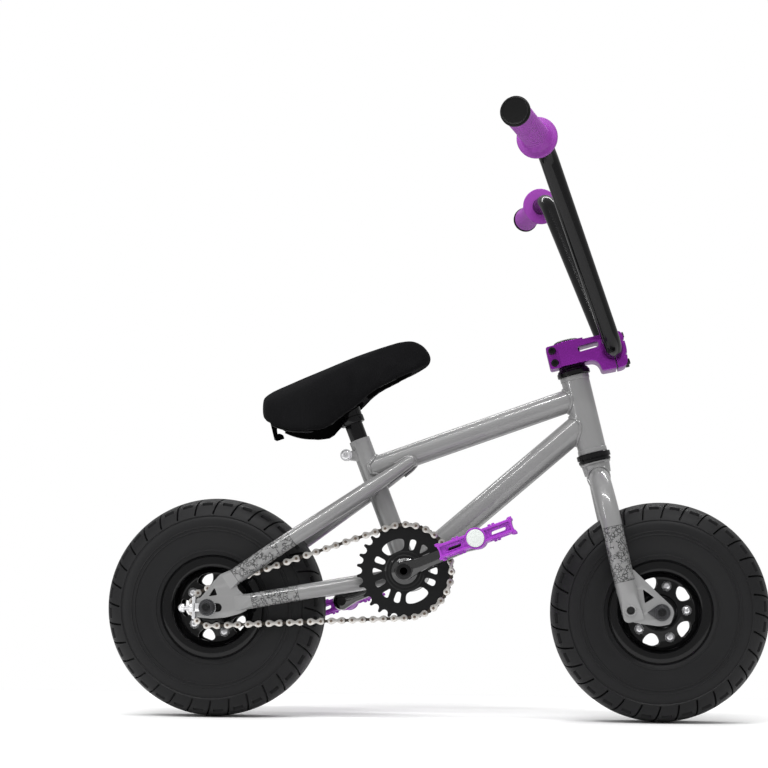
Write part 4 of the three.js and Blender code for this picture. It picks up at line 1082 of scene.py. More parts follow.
def pedal_platform(name, side, place):
    """A moulded platform: rails above and below a pierced web, horned corners, studs and barrel."""
    half, thick = 47.5, 8
    inner, outer = PEDAL_INNER, PEDAL_OUTER
    middle = (inner + outer) / 2
    corners = [(-half + 1, -thick, 2), (half - 1, -thick, 2), (half - 3, 0, 4), (half - 1, thick, 2),
               (-half + 1, thick, 2), (-half + 3, 0, 4)]
    o = plate(rounded(corners, 2, 4), outer - inner, edge=0.9, at_y=middle)
    tools = []
    for way in (1, -1):
        low, high = sorted((way * 15, way * (half - 10)))
        tools.append(bevelled(block((low, inner + 10, -20), (high, outer - 10, 20)), 2, 3, 60))
        slot = pedal_box(18, 37, 2.9, 2.8, 4, way)
        tools.append(plate(slot, outer - inner + 30, edge=0.01, at_y=middle))
        pocket = pedal_box(10, 43, 5.2, 1.6, 3, way)
        for face in (inner, outer):
            tools.append(plate(pocket, 6, edge=0.01, at_y=face))
    cut(o, *tools)
    bevelled(o, 0.45, 2, 40)
    parts = [o]
    for way in (1, -1):
        slot_lip = pedal_box(16.6, 38.4, 4.1, 3.6, 4, way)
        slot_hole = pedal_box(18, 37, 2.9, 2.8, 4, way)
        for face in (inner + 3.4, outer - 3.4):
            parts.append(plate(slot_lip, 1.6, [slot_hole], edge=0.3, at_y=face))
        low_x, high_x = sorted((way * half, way * (half - 5)))
        for up in (1, -1):
            low_z, high_z = sorted((up * 6.6, up * 10))
            for y in (inner + 4, outer - 4):
                parts.append(bevelled(block((low_x, y - 3.6, low_z), (high_x, y + 3.6, high_z)), 0.8, 2, 60))
                for x in (20, 24.6):
                    parts.append(pedal_stud(way * x, y, up))
            for y in (inner + 19, middle, outer - 19):
                parts.append(pedal_stud(way * 43, y, up))
    parts.append(moved(ring_lathe([(inner - 1, 5.4), (inner - 1, 10.6), (inner + 0.2, 12), (outer - 6, 12),
                                   (outer - 1, 12), (outer - 0.2, 11.4), (outer - 0.2, 5.4)], 48), ALONG_Y))
    parts.append(moved(ring_lathe([(outer - 6, 10.8), (outer - 6, 12.6), (outer - 0.2, 12.6),
                                   (outer + 0.3, 12), (outer + 0.3, 10.8)], 48), ALONG_Y))
    piece(on_side(together(*parts), side), f"pedal_{name}_body", f"pedal_{name}", "purple_plastic",
          purple_plastic, f"pedal_{name}", matrix=place)


def pedal(name, side):
    """The platform with its white end cap and its axle, which is screwed into the crank arm."""
    place = Matrix.Translation((PEDALS[name].x, 0, PEDALS[name].z)) @ Matrix.Rotation(-PEDAL_TURN, 4, "Y")
    pedal_platform(name, side, place)
    outer = PEDAL_OUTER
    cap = moved(lathe([(outer - 1, 0), (outer - 1, 10.4), (outer + 1.8, 10.4), (outer + 2.7, 9.6),
                       (outer + 3, 8), (outer + 3, 0)], 48), ALONG_Y)
    piece(on_side(cap, side), f"pedal_{name}_dust_cap", f"pedal_{name}", "white_plastic", white_plastic,
          f"pedal_cap_{name}", matrix=place)
    shaft = moved(lathe([(CRANK_INNER - 0.4, 0), (CRANK_INNER - 0.4, 2.4), (CRANK_INNER - 0.4, 5.6),
                         (CRANK_INNER + 0.4, 6.1), (CRANK_OUTER + 1, 6.1), (CRANK_OUTER + 1, 7.6),
                         (CRANK_OUTER + 2, 8), (CRANK_OUTER + 7, 8), (CRANK_OUTER + 7.6, 7.4),
                         (CRANK_OUTER + 8, 6), (PEDAL_INNER - 2, 5.4), (PEDAL_INNER + 8, 5),
                         (PEDAL_INNER + 8, 0)], 32), ALONG_Y)
    piece(on_side(shaft, side), f"pedal_{name}_axle_rod", f"pedal_{name}", "bright_steel", black_metal,
          f"pedal_axle_{name}", matrix=place)


for arm_name, arm_side in SIDES:
    crank_arm(arm_name, arm_side)
    pedal(arm_name, arm_side)
spindle()
bracket_cups()


# ---------------------------------------------------------------- frame
CROSSING = seat_line(SEAT_TUBE_LENGTH - 60)  # where the stays pass the seat tube
R, Z0 = REAR_AXLE.x, REAR_AXLE.z  # the rear axle, short for the lists of points
SEAT_STAY = [(R + 22, DROPOUT_OUT, Z0 + 30), (R + 78, DROPOUT_OUT - 3, Z0 + 69.5),
             (R + 114, DROPOUT_OUT - 13, Z0 + 94.5), (R + 159, DROPOUT_OUT - 31, Z0 + 126),
             (CROSSING.x + 3, SEAT_TUBE_RADIUS + SEAT_STAY_RADIUS + 1, CROSSING.z),
             (CROSSING.x + 44, TOP_TUBE_RADIUS + SEAT_STAY_RADIUS - 4.5, CROSSING.z + 29)]
CHAIN_STAY = [(R + 33, DROPOUT_OUT, Z0 + 5), (R + 83, DROPOUT_OUT - 2, Z0 + 14),
              (R + 123, DROPOUT_OUT - 13, Z0 + 21.5), (R + 158, (DROPOUT_OUT + 11) / 2, Z0 + 28),
              (R + 193, SHELL_RADIUS + 2, Z0 + 34.5), (R + 223, SHELL_RADIUS - 3, Z0 + 40)]
HEAD_AT = steered(0, 0, HEAD_LOW), steered(0, 0, HEAD_HIGH)
TOP_TUBE = seat_line(SEAT_TUBE_LENGTH - 40), steered(0, 0, HEAD_HIGH - 27)
DOWN_TUBE = Vector(BRACKET), steered(0, 0, HEAD_LOW + 41)
SEAT_TUBE = Vector(BRACKET), seat_line(SEAT_TUBE_LENGTH)
SHELL = BRACKET - LEFT * SHELL_HALF, BRACKET + LEFT * SHELL_HALF


def split_band(o, start, end, material, line_material, line=0.5):
    """Prints a band on a tube between two points, with a thin line at each end of it."""
    start, end = Vector(start), Vector(end)
    way = (end - start).normalized()
    length = (end - start).length
    for along in (-line, 0, length, length + line):
        editing(o)
        bpy.ops.mesh.bisect(plane_co=start + way * along, plane_no=way)
        done()

    def between(low, high):
        return lambda centre: low < (centre - start).dot(way) < high
    second_material(o, line_material, between(-line, length + line))
    second_material(o, material, between(0, length))
    return o


def frame_tubes():
    """The front triangle: its tubes run into each other, with the bores cut through."""
    head = rod(*HEAD_AT, HEAD_RADIUS, sides=64)
    tubes = fused(head, rod(*TOP_TUBE, TOP_TUBE_RADIUS, sides=64),
                  rod(*DOWN_TUBE, DOWN_TUBE_RADIUS, sides=64), rod(*SEAT_TUBE, SEAT_TUBE_RADIUS, sides=64),
                  rod(*SHELL, SHELL_RADIUS, sides=64))
    head_wall, seat_tube_wall, post_depth, shell_bore = 1.9, 1.6, 92, 17.5
    cut(tubes, rod(steered(0, 0, HEAD_LOW - 20), steered(0, 0, HEAD_HIGH + 20), HEAD_RADIUS - head_wall,
                   sides=64))
    cut(tubes, rod(seat_line(SEAT_TUBE_LENGTH - post_depth), seat_line(SEAT_TUBE_LENGTH + 20),
                   SEAT_TUBE_RADIUS - seat_tube_wall))
    cut(tubes, rod(BRACKET - LEFT * 60, BRACKET + LEFT * 60, shell_bore))
    slit = block((-30, -1, -26), (0, 1, 10))
    moved(slit, SEATED @ Matrix.Translation((0, 0, SEAT_TUBE_LENGTH)))
    cut(tubes, slit)
    rings = []
    for z in (HEAD_LOW, HEAD_HIGH - 6):
        ring = [(z, 17), (z, 17.7), (z + 0.6, 18.2), (z + 5.4, 18.2), (z + 6, 17.7), (z + 6, 17)]
        rings.append(moved(ring_lathe(ring, 64), STEERED))
    for way in (1, -1):
        ring = ring_lathe([(31, 24.5), (31, 25.3), (33.4, 25.3), (34, 24.8), (34, 18), (31, 18)], 64)
        rings.append(moved(ring, Matrix.Translation(BRACKET) @ ALONG_Y @ Matrix.Scale(way, 4, UP)))
    piece(together(tubes, *rings), "frame_triangle", "frame", "frame_paint", frame_paint, "main_frame")


def frame_welds():
    """The weld beads: round each tube's end, and along both sides of the seat stays' upper ends."""
    seams = [
        meeting(TOP_TUBE[0], TOP_TUBE[1], TOP_TUBE_RADIUS, *HEAD_AT, HEAD_RADIUS),
        meeting(DOWN_TUBE[0], DOWN_TUBE[1], DOWN_TUBE_RADIUS, *HEAD_AT, HEAD_RADIUS),
        meeting(TOP_TUBE[1], TOP_TUBE[0], TOP_TUBE_RADIUS, *SEAT_TUBE, SEAT_TUBE_RADIUS),
        meeting(DOWN_TUBE[1], DOWN_TUBE[0], DOWN_TUBE_RADIUS, *SHELL, SHELL_RADIUS),
        meeting(SEAT_TUBE[1], SEAT_TUBE[0], SEAT_TUBE_RADIUS, *SHELL, SHELL_RADIUS),
    ]
    trails = []
    for side in (1, -1):
        low, high = facing(CHAIN_STAY[-2:], side)
        seams.append(meeting(low, high, CHAIN_STAY_RADIUS, *SHELL, SHELL_RADIUS))
        low, high = (Vector(p) for p in facing(SEAT_STAY[-2:], side))
        along = (high - low).normalized()
        above = along.cross(LEFT * side).normalized()
        line = []
        for step, lift in ((-36, 9.8), (-18, 8.6), (0, 6.4), (4, 4.6), (6, 1.6), (6, -1.6), (4, -4.6),
                           (0, -6.4), (-18, -8.6)):
            line.append(high + along * step + above * lift - LEFT * side * (2.6 if step < 3 else 3.2))
        trails.append(line)
    beads = [bead(seam) for seam in seams]
    for line in trails:
        beads.append(tube(line, 1.5, sides=8, smoothly=True))
    piece(together(*beads), "frame_weld_beads", "frame", "frame_paint", frame_paint, angle=60)


def flattened_end(o, end, along, radius, face, reach):
    """Cuts the tube's end down to the plate it is welded to, tapering over that reach."""
    along = Vector(along).normalized()
    for way in (1, -1):
        corner = Vector(end) + LEFT * way * face
        slope = (along * (face - radius) + LEFT * way * reach).normalized()
        editing(o)
        bpy.ops.mesh.bisect(plane_co=corner, plane_no=slope, use_fill=True, clear_outer=True)
        done()
    return o


def stays():
    """The rear stays, flattened where they meet the dropouts, with a printed band near that end."""
    bands = {"seat": ((-241, 0, 173), (-176.5, 0, 222)), "chain": ((-220, 0, 146.5), (-166, 0, 158.5))}
    for kind, corners, radius in (("seat", SEAT_STAY, SEAT_STAY_RADIUS),
                                  ("chain", CHAIN_STAY, CHAIN_STAY_RADIUS)):
        for name, side in SIDES:
            path = [tuple(p) for p in curved(facing(corners, side), 8)]
            last = len(path) - 1
            taper, taper_steps = (0.36 if kind == "seat" else 0), 10
            o = tube(path, radius, sides=32, swell=lambda i: 1 - taper * max(0, 1 - (last - i) / taper_steps))
            flattened_end(o, path[0], Vector(path[1]) - Vector(path[0]), radius, PLATE_THICK / 2, 26)
            split_band(o, *bands[kind], crackle_paint, print_and_hole_shade_black)
            if kind == "seat":
                tip = lathe([(0, 6.4), (1.7, 6.2), (3.6, 5.3), (5.2, 3.6), (6, 1.9), (6.3, 0)], 32)
                last_step = Vector(path[-1]) - Vector(path[-2])
                o = together(o, moved(tip, Matrix.Translation(path[-1]) @ pointing(last_step)))
            piece(o, f"{kind}_stay_{name}", "frame", "frame_paint", frame_paint)


def dropouts():
    """The rear plates with their window and the slot for the axle, open behind."""
    outline = [(14, 40), (-9, 11.5), (-14, 11), (-14.5, -12), (-7, -12.5), (5, -13.5), (22, -12), (38, -7.5),
               (48, -3), (46, 14), (37, 22), (35, 28), (40, 38), (28, 46)]
    window = rounded([(8, 24), (11.5, 15), (1, 13.5)], 1.8, 4)
    for name, side in SIDES:
        o = plate(rounded(outline, 2.5, 4), PLATE_THICK, [window], edge=0.6, at_y=side * DROPOUT_OUT)
        slot, slot_end = 5.3, 12
        cut(o, block((-30, -90, -slot), (slot_end, 90, slot)),
            rod((slot_end, -90, 0), (slot_end, 90, 0), slot, sides=32))
        piece(o, f"dropout_plate_{name}", "frame", "frame_paint", frame_paint,
              matrix=Matrix.Translation((R, 0, Z0)))


def seat_clamp():
    """The two lugs behind the seat tube and the screw that pinches them."""
    ear = seat_line(SEAT_TUBE_LENGTH - 24)
    at = Vector((ear.x - SEAT_TUBE_RADIUS - 10.7, 0, ear.z + 2.6))
    lug = rounded([(-27, -2, 4), (2, -6, 1), (2, 10, 1), (-27, 7, 4)], 4, 6)
    lugs = []
    for way in (1, -1):
        lugs.append(plate(lug, 8, edge=0.8, at_y=way * 6))
    o = moved(together(*lugs), Matrix.Translation((ear.x, 0, ear.z)))
    cut(o, rod(at - LEFT * 30, at + LEFT * 30, 3.2, sides=24))
    cut(o, rod(seat_line(100), seat_line(SEAT_TUBE_LENGTH + 20), SEAT_TUBE_RADIUS - 1.5))
    piece(o, "seat_clamp_lugs", "frame", "frame_paint", frame_paint)
    seat = 10.2
    head = moved(lathe([(seat, 0), (seat, 7.4), (seat + 0.8, 7.4), (seat + 1, 6), (seat + 3.6, 6),
                        (seat + 4.4, 5.6), (seat + 5, 4.6), (seat + 5, 0)], 48), ALONG_Y @ UPSIDE_DOWN)
    cut(head, rod((0, -seat - 2, 0), (0, -seat - 8, 0), 3.1, sides=6))
    shank = rod((0, -seat - 1, 0), (0, seat + 5, 0), 2.9, sides=24)
    nut = bevelled(rod((0, seat, 0), (0, seat + 4.6, 0), 6, sides=6), 0.5)
    piece(together(head, shank, nut), "seat_clamp_screw", "frame", "bright_steel", bright_steel,
          "seat_clamp_bolt", matrix=Matrix.Translation(at))


def tensioner(name, side):
    """A bright strip over the dropout's open end, with its eye on the axle and an acorn-headed screw."""
    face = DROPOUT_OUT + PLATE_THICK / 2 + 0.2
    thick = 2.2
    rear = -14.7  # the front of the strip, behind the axle
    thread_turns, thread_pitch = 17, 1.05
    strip = plate(rounded([(rear - 4, -14), (rear, -14), (rear, 13), (rear - 4, 13)], 1.2, 3), 7.4, edge=0.4,
                  at_y=face + thick - 3.7)
    eye = plate(ring_points(10.5, 48), thick, [ring_points(5.2, 32)], edge=0.35, at_y=face + thick / 2)
    arm = plate([(rear - 2, -5), (-8.5, -5), (-8.5, 5), (rear - 2, 5)], thick, edge=0.3,
                at_y=face + thick / 2)
    thread = []
    for i in range(thread_turns):
        thread += [(i * thread_pitch, 2.6), (i * thread_pitch + 0.5, 3.0)]
    screw = lathe([(0, 0), *thread, (17, 0)], 24)
    acorn = lathe([(-2, 0), (-1.6, 2.2), (-0.4, 4), (1.6, 5.2), (3.2, 5.5), (3.4, 5.5), (3.4, 0)], 32)
    hexagon = bevelled(rod((0, 0, 3.2), (0, 0, 5.8), 5.7, sides=6), 0.4)
    nut = bevelled(rod((0, 0, 12), (0, 0, 17), 6, sides=6), 0.5)
    along_x = Matrix.Translation((rear - 19.6, DROPOUT_OUT, -1)) @ Matrix.Rotation(math.radians(90), 4, "Y")
    o = together(strip, eye, arm, moved(together(screw, acorn, hexagon, nut), along_x))
    piece(on_side(o, side), f"chain_tensioner_{name}", "frame", "bright_steel", bright_steel,
          f"tensioner_{name}", matrix=Matrix.Translation((R, 0, Z0)))


frame_tubes()
frame_welds()
stays()
dropouts()
seat_clamp()
for tensioner_name, tensioner_side in SIDES:
    tensioner(tensioner_name, tensioner_side)


# ---------------------------------------------------------------- fork and headset, along the steering axis
CROWN_TOP = HEAD_LOW - 11.2
LEG_OPENING = Vector((-2.4, 0, 10.9))  # the round opening above the fork's end
LEG = [(0, 8, CROWN_TOP - 18), (0, 27, CROWN_TOP - 25), (0, 44, CROWN_TOP - 40),
       (0, LEG_OUT - 3, CROWN_TOP - 62), (0, LEG_OUT, CROWN_TOP - 88), (-1, LEG_OUT, CROWN_TOP - 130),
       (-1, LEG_OUT, -3)]


def fork_leg(name, side):
    """A leg, bent out from the crown and flattened below, with its opening and its printed band."""
    path = facing([tuple(p) for p in curved(LEG, 10)], side)
    leg = tube(path, LEG_RADIUS, sides=40)
    flattened_end(leg, path[-1], (0, 0, 1), LEG_RADIUS, PLATE_THICK / 2 + 1.5, 46)
    foot = rounded([(-13.4, -3.2, 9), (11.4, -3.2, 3), (11.4, 60), (-13.4, 60)], 1, 6)
    shape = plate(foot, 80, edge=0.01, at_y=side * LEG_OUT)
    above_foot = block((-200, -200, 30), (200, 200, 300))
    boolean(leg, [fused(shape, above_foot)], "INTERSECT")
    cut(leg, rod(LEG_OPENING, LEG_OPENING + LEFT * 100 * side, 4.9, sides=40))
    bevelled(leg, 0.6, 2, 40)
    split_band(leg, (0, 0, 47), (0, 0, 114), crackle_paint, print_and_hole_shade_black)
    nodes = ["fork"] if side < 0 else []
    piece(leg, f"fork_leg_{name}", "fork", "frame_paint", frame_paint, *nodes, matrix=STEERED)


def fork_end(name, side):
    """The plate that holds the axle, with the collar of the leg's opening, and a black sheet inside the
    opening as painted shade.
    """
    hole = Matrix.Translation(LEG_OPENING) @ ALONG_Y
    collar = ring_lathe([(59, 4.7), (65.6, 4.7), (67, 5.2), (67.2, 6), (66.8, 6.9), (65.4, 7.3), (63, 7.3),
                         (59, 7.3)], 48)
    outline = [(11.6, 59.7), (FORK_OFFSET + 2.5, 21.4), (FORK_OFFSET + 13.8, 4.3), (FORK_OFFSET + 14.9, -3.6),
               (FORK_OFFSET + 7.1, -16), (FORK_OFFSET - 6.3, -15.6), (6.2, -7.5), (-4, -3), (-6, 40)]
    window = rounded([(18, 32.3), (28.7, 19.6), (16.3, 15.6)], 1.6, 4)
    axle_bore = ring_points(5.3, 32, FORK_OFFSET, 0)
    blade = plate(rounded(outline, 3.5, 5), PLATE_THICK, [window, axle_bore], edge=0.7, at_y=LEG_OUT)
    piece(on_side(together(moved(collar, hole), blade), side), f"fork_end_{name}", "fork", "frame_paint",
          frame_paint, matrix=STEERED)
    # A black sheet on the opening's wall: painted shade in the hole.
    hole_shade_sheet = moved(lathe([(61.8, 0), (61.8, 4.6), (65.2, 4.6), (65.2, 4.2), (62.4, 4), (62.4, 0)], 32), hole)
    piece(on_side(hole_shade_sheet, side), f"fork_hole_painted_shade_{name}", "fork", "black_gloss", print_and_hole_shade_black,
          matrix=STEERED)


def fork_crown():
    """The crown with the steerer above it, and the weld bead round each leg's top."""
    crown = lathe([(CROWN_TOP - 15, 0), (CROWN_TOP - 15, 16.4), (CROWN_TOP - 3, 17.6), (CROWN_TOP - 2, 19),
                   (CROWN_TOP - 0.4, 19), (CROWN_TOP, 18.6), (CROWN_TOP, 14.2), (STEM_BOTTOM + 28, 14.2),
                   (STEM_BOTTOM + 28, 0)], 64)
    seams = []
    for side in (1, -1):
        seams.append(bead(meeting((0, 27 * side, CROWN_TOP - 25), (0, 0, CROWN_TOP - 14), LEG_RADIUS,
                                  (0, 0, CROWN_TOP - 40), (0, 0, CROWN_TOP), 16.8), 1.6))
    piece(together(crown, *seams), "fork_crown", "fork", "frame_paint", frame_paint, matrix=STEERED)


def headset():
    """The cups at both ends of the head tube, the cover over the upper one, and the stem's top cap."""
    low, top = HEAD_LOW, HEAD_HIGH
    lower = ring_lathe([(low - 11, 14.5), (low - 11, 19.4), (low - 10.4, 20), (low - 7.6, 20),
                        (low - 7.2, 19), (low - 6.6, 19), (low - 6.2, 21), (low - 0.8, 21),
                        (low - 0.2, 20.4), (low - 0.2, 14.5)], 64)
    piece(lower, "headset_lower_cup", "fork", "black_gloss", black_gloss, "headset_cup_lower", matrix=STEERED)
    upper = ring_lathe([(top + 0.2, 14.5), (top + 0.2, 19.8), (top + 0.8, 20.5), (top + 5.2, 20.5),
                        (top + 6.2, 19.6), (top + 6.2, 14.5)], 64)
    piece(upper, "headset_upper_cup", "frame", "black_gloss", black_gloss, "headset_cup_upper",
          matrix=STEERED)
    cover = ring_lathe([(top + 6.4, 14.5), (top + 6.4, 18.8), (top + 7, 19.2), (top + 8.2, 18.8),
                        (top + 9.4, 16.9), (top + 10, 16.6), (top + 10.4, 16.9), (top + 12, 16.6),
                        (top + 12.5, 16), (top + 12.5, 14.5)], 64)
    piece(cover, "headset_top_cover", "fork", "black_gloss", black_gloss, "headset_cover", matrix=STEERED)
    cap_low = STEM_BOTTOM + 29.3
    cap = lathe([(cap_low, 0), (cap_low, 15.6), (cap_low + 0.5, 16), (cap_low + 1.6, 16), (cap_low + 2.6, 15),
                 (cap_low + 3.5, 12.6), (cap_low + 3.5, 6), (cap_low + 2.6, 5.6), (cap_low + 2.6, 0)], 64)
    cut(cap, moved(rod((0, 0, -4), (0, 0, 3), 2.8, sides=6), Matrix.Translation((0, 0, cap_low + 3))))
    piece(cap, "stem_cap", "fork", "black_gloss", black_metal, "stem_top_cap", matrix=STEERED)


for leg_name, leg_side in SIDES:
    fork_leg(leg_name, leg_side)
    fork_end(leg_name, leg_side)
fork_crown()
headset()


# ---------------------------------------------------------------- stem and handlebar
def socket_screw(at, way, radius, tall):
    """A black socket-head screw standing on a face, pointing the given way."""
    head = lathe([(0, 0), (0, radius), (tall - 0.6, radius), (tall, radius - 0.6), (tall, 0)], 32)
    cut(head, rod((0, 0, 1.4), (0, 0, tall + 3), radius * 0.55, sides=6))
    return moved(head, Matrix.Translation(at) @ pointing(way))


def stem():
    """A milled block on the steerer and a plate in front that clamps the bar, with their socket screws."""
    half = 24
    split = STEM_REACH
    bar = rod((split, -40, BAR_DROP), (split, 40, BAR_DROP), BAR_BORE, sides=64)
    screw_out, screw_rows = 15.5, (-27, 6.5)
    back = [(-27, -14.5, 3), (16, -14.5, 8), (28, -16, 4), (33, -21, 4), (34.6, -31, 3),
            (split - 0.2, -32, 1), (split - 0.2, 12.8, 1), (41.5, 14.4, 5), (5, 14.8, 8), (-27, 13.9, 3)]
    o = plate(rounded(back, 2, 5), 2 * half)
    slot = rounded([(11, -2), (37.5, -1), (37.5, 6), (11, 5)], 3.4, 5)
    cut(o, plate(slot, 80, edge=0.01), copied(bar), rod((0, 0, -40), (0, 0, 40), STEERER_BORE, sides=64),
        block((-40, -1.3, -40), (-10, 1.3, 40)), block((-40, -30, -30), (-13, -17, 30)),
        block((-40, 17, -30), (-13, 30, 30)), block((20, -30, 11.8), (42, -8, 15)),
        block((20, 8, 11.8), (42, 30, 15)))
    bevelled(o, 0.9, 3, 40)
    block_matrix = STEERED @ Matrix.Translation((0, 0, STEM_MIDDLE))
    piece(o, "stem_clamp_body", "fork", "purple_metal", purple_metal, "stem_body", matrix=block_matrix)
    screws = [socket_screw((-20, way * 17, z), (0, way, 0), 4.6, 5) for way in (1, -1) for z in (-8, 7.5)]
    screws += [socket_screw((66, way * screw_out, z), (1, 0, 0.05), 3.7, 4.4)
               for way in (1, -1) for z in screw_rows]
    piece(together(*screws), "stem_screws", "fork", "black_gloss", black_metal, matrix=block_matrix)
    front = [(split + 1.4, -32.2, 1), (63, -32, 4), (67.5, -28, 4), (70, -10, 5), (69, 6, 5), (66, 12, 3),
             (split + 1.4, 12.8, 1)]
    face = plate(rounded(front, 2, 5), 2 * half)
    tools = [bar, block((60, -9, -14), (80, 9, -5)), block((66.5, -60, -19), (80, 60, -16.5)),
             block((67, -60, -1.5), (80, 60, 1))]
    for way in (1, -1):
        for z in screw_rows:
            tools.append(rod((64.5, way * screw_out, z), (80, way * screw_out, z), 4.9, sides=32))
    cut(face, *tools)
    bevelled(face, 0.6, 2, 40)
    piece(face, "stem_clamp_plate", "fork", "purple_metal", purple_metal, "stem_faceplate",
          matrix=block_matrix)


def bar_corners():
    """The bar's left end, its upper bend and its lower bend, before the bends are rounded."""
    upper_out, lower_out, rise, back = 155, 48, 221, 84.6
    grip_span = 150
    backsweep, upsweep = math.radians(11.6), math.radians(1.6)
    centre = BAR_CENTRE
    top = Vector((centre.x - back, upper_out, centre.z + rise))
    end = top + Vector((-grip_span * math.tan(backsweep), grip_span, grip_span * math.tan(upsweep)))
    low = Vector((centre.x, lower_out, centre.z))
    return end, top, low


def grip_sleeve():
    """A ribbed sleeve with a flange at its inner end; its outer end is 1 mm below height 0."""
    flange = [(-112, 11.3), (-112, 23.2), (-111.2, 24), (-108.8, 24), (-107.5, 23), (-106.4, 18.4),
              (-104, 16.6), (-98, 15.6), (-94, 15.3)]
    ribs = []
    start, stop, count = -92, -8, 12
    for i in range(count):
        a = start + (stop - start) * i / count
        ribs += [(a, 15.3), (a + 0.9, 14.6), (a + 2.2, 14.6), (a + 3.1, 15.3)]
    return ring_lathe([*flange, *ribs, (-6, 15.4), (-3, 15.8), (-1.4, 15.6), (-1, 15), (-1, 11.3)], 64)


def handlebar():
    """The bent bar with a grip and an end plug on each side."""
    end, top, low = bar_corners()
    corners = [end, top, low, *[Vector((p.x, -p.y, p.z)) for p in (low, top, end)]]
    bend_radius = 34
    o = tube(bent(corners, bend_radius, 14), BAR_RADIUS, sides=48)
    piece(o, "handlebar_tube", "handlebar", "black_gloss", black_gloss, "handlebar", angle=50)
    for name, side in SIDES:
        outward = end - top
        outward.y *= side
        place = Matrix.Translation((end.x, side * end.y, end.z)) @ pointing(outward)
        piece(grip_sleeve(), f"grip_{name}_sleeve", "handlebar", "purple_rubber", purple_rubber,
              f"grip_{name}", matrix=place)
        plug = lathe([(-20, 0), (-20, 8), (0.2, 8.2), (0.2, 16.4), (0.8, 17), (2.6, 17), (3.6, 16.2), (4, 15),
                      (3.5, 14.2), (3.4, 13), (3.4, 0)], 64)
        piece(plug, f"bar_end_plug_{name}", "handlebar", "black_plastic", black_plastic, f"bar_plug_{name}",
              matrix=place)


stem()
handlebar()


# ---------------------------------------------------------------- seat
SEAT_AT = seat_line(212)
# Lines in the seat's own X and Z: under the solid cover, and under the real one
SOLID_UNDER = [(-103, -6), (-97, -12), (-84, -17.5), (-64, -25), (-42, -31), (-28, -31), (-18, -22), (-8, -8),
               (10, 6), (20, 18), (36, 29.5), (60, 40.5), (92, 56)]
SEAT_UNDER = [(-103, -6), (-97, -11.5), (-88, -16.5), (-77, -21.5), (-63, -25.5), (-46, -26.8), (-31, -25.3),
              (-24, -21.5), (-15, -14), (-6, -5), (10, 7), (20, 18.5), (36, 30.5), (60, 42.5), (92, 57.5)]
# Half the cover's width, and how far its hem hangs down, along X
SEAT_PLAN = [(-106, 38), (-101, 54), (-90, 63), (-70, 67), (-45, 64), (-20, 50), (5, 36), (35, 29), (65, 27),
             (85, 22), (96, 14), (100.4, 5)]
HEM_DROP = [(-106, 7), (-88, 8), (-60, 4), (-44, 2.5), (-10, 2), (22, 2.5), (60, 2), (100, 1)]


def read_off(points, x):
    """The value of a line of (x, value) points at x."""
    for (x0, y0), (x1, y1) in zip(points, points[1:]):
        if x0 <= x <= x1:
            return y0 + (y1 - y0) * (x - x0) / (x1 - x0)
    return points[0][1] if x < points[0][0] else points[-1][1]


def underside_lifted(o):
    """Moves the cover's lower part from the solid's line to the seat's own, and all of it a little ahead."""
    reach_up = 24
    ahead, stretch = 3, 0.009
    for vertex in o.data.vertices:
        here = vertex.co / MM - SEAT_AT
        solid = read_off(SOLID_UNDER, here.x)
        share = min(1, max(0, 1 - (here.z - solid) / reach_up))
        vertex.co.z += share * (read_off(SEAT_UNDER, here.x) - solid) * MM
        vertex.co.x += (ahead + stretch * here.x) * MM


def hem_lowered(o):
    """Draws the cover's lower edge down over the pan, most of all behind."""
    rear = SEAT_PLAN[0][0]
    edge_width, edge_fade = 15, 9
    edge_height, height_fade = 20, 16
    for vertex in o.data.vertices:
        here = vertex.co / MM - SEAT_AT
        inside = min(read_off(SEAT_PLAN, here.x) - abs(here.y), here.x - rear)
        above = here.z - read_off(SEAT_UNDER, here.x)
        near_edge = min(1, max(0, (edge_width - inside) / edge_fade))
        low_down = min(1, max(0, (edge_height - above) / height_fade))
        vertex.co.z -= near_edge * low_down * read_off(HEM_DROP, here.x) * MM


def swollen(o):
    """Blows the cover up as cloth with its underside held, and caps how far it swells."""
    pressure, frames = 4, 20
    furthest = 5 * MM
    before = [v.co.copy() for v in o.data.vertices]
    held = o.vertex_groups.new(name="held")
    held.add([v.index for v in o.data.vertices if v.normal.z < -0.35], 1.0, "REPLACE")
    only(o)
    cloth = o.modifiers.new("cloth", "CLOTH")
    cloth.settings.quality = 6
    cloth.settings.use_pressure = True
    cloth.settings.uniform_pressure_force = pressure
    cloth.settings.vertex_group_mass = held.name
    cloth.settings.effector_weights.gravity = 0
    for step in range(1, frames + 1):
        bpy.context.scene.frame_set(step)
    bpy.ops.object.modifier_apply(modifier=cloth.name)
    for vertex, start in zip(o.data.vertices, before):
        swell = vertex.co - start
        if swell.length > furthest:
            vertex.co = start + swell.normalized() * furthest
    bpy.context.scene.frame_set(1)


def seat_pad():
    """The cover: the cushion's own solid drawn in a little, blown up as cloth and smoothed over."""
    drawn_in = 0.4
    grid = 4.5
    source = frame["nodes"]["seat_cover"]
    o = bpy.data.objects.new("seat_pad", source.data.copy())
    bpy.context.scene.collection.objects.link(o)
    moved(o, Matrix.Scale(1 / MM, 4) @ source.matrix_world)
    tidied(o, 0.02)
    editing(o)
    bpy.ops.transform.shrink_fatten(value=-drawn_in)
    done()
    applied(o, "REMESH", mode="VOXEL", voxel_size=grid)
    applied(o, "SMOOTH", factor=0.6, iterations=5)
    moved(o, Matrix.Scale(MM, 4))
    swollen(o)
    underside_lifted(o)
    hem_lowered(o)
    applied(o, "SMOOTH", factor=0.5, iterations=2)
    applied(o, "SUBSURF", levels=1)
    moved(o, Matrix.Scale(1 / MM, 4))
    piece(o, "seat_cover_pad", "seat", "seat_fabric", seat_cloth, "seat_cover", angle=80)


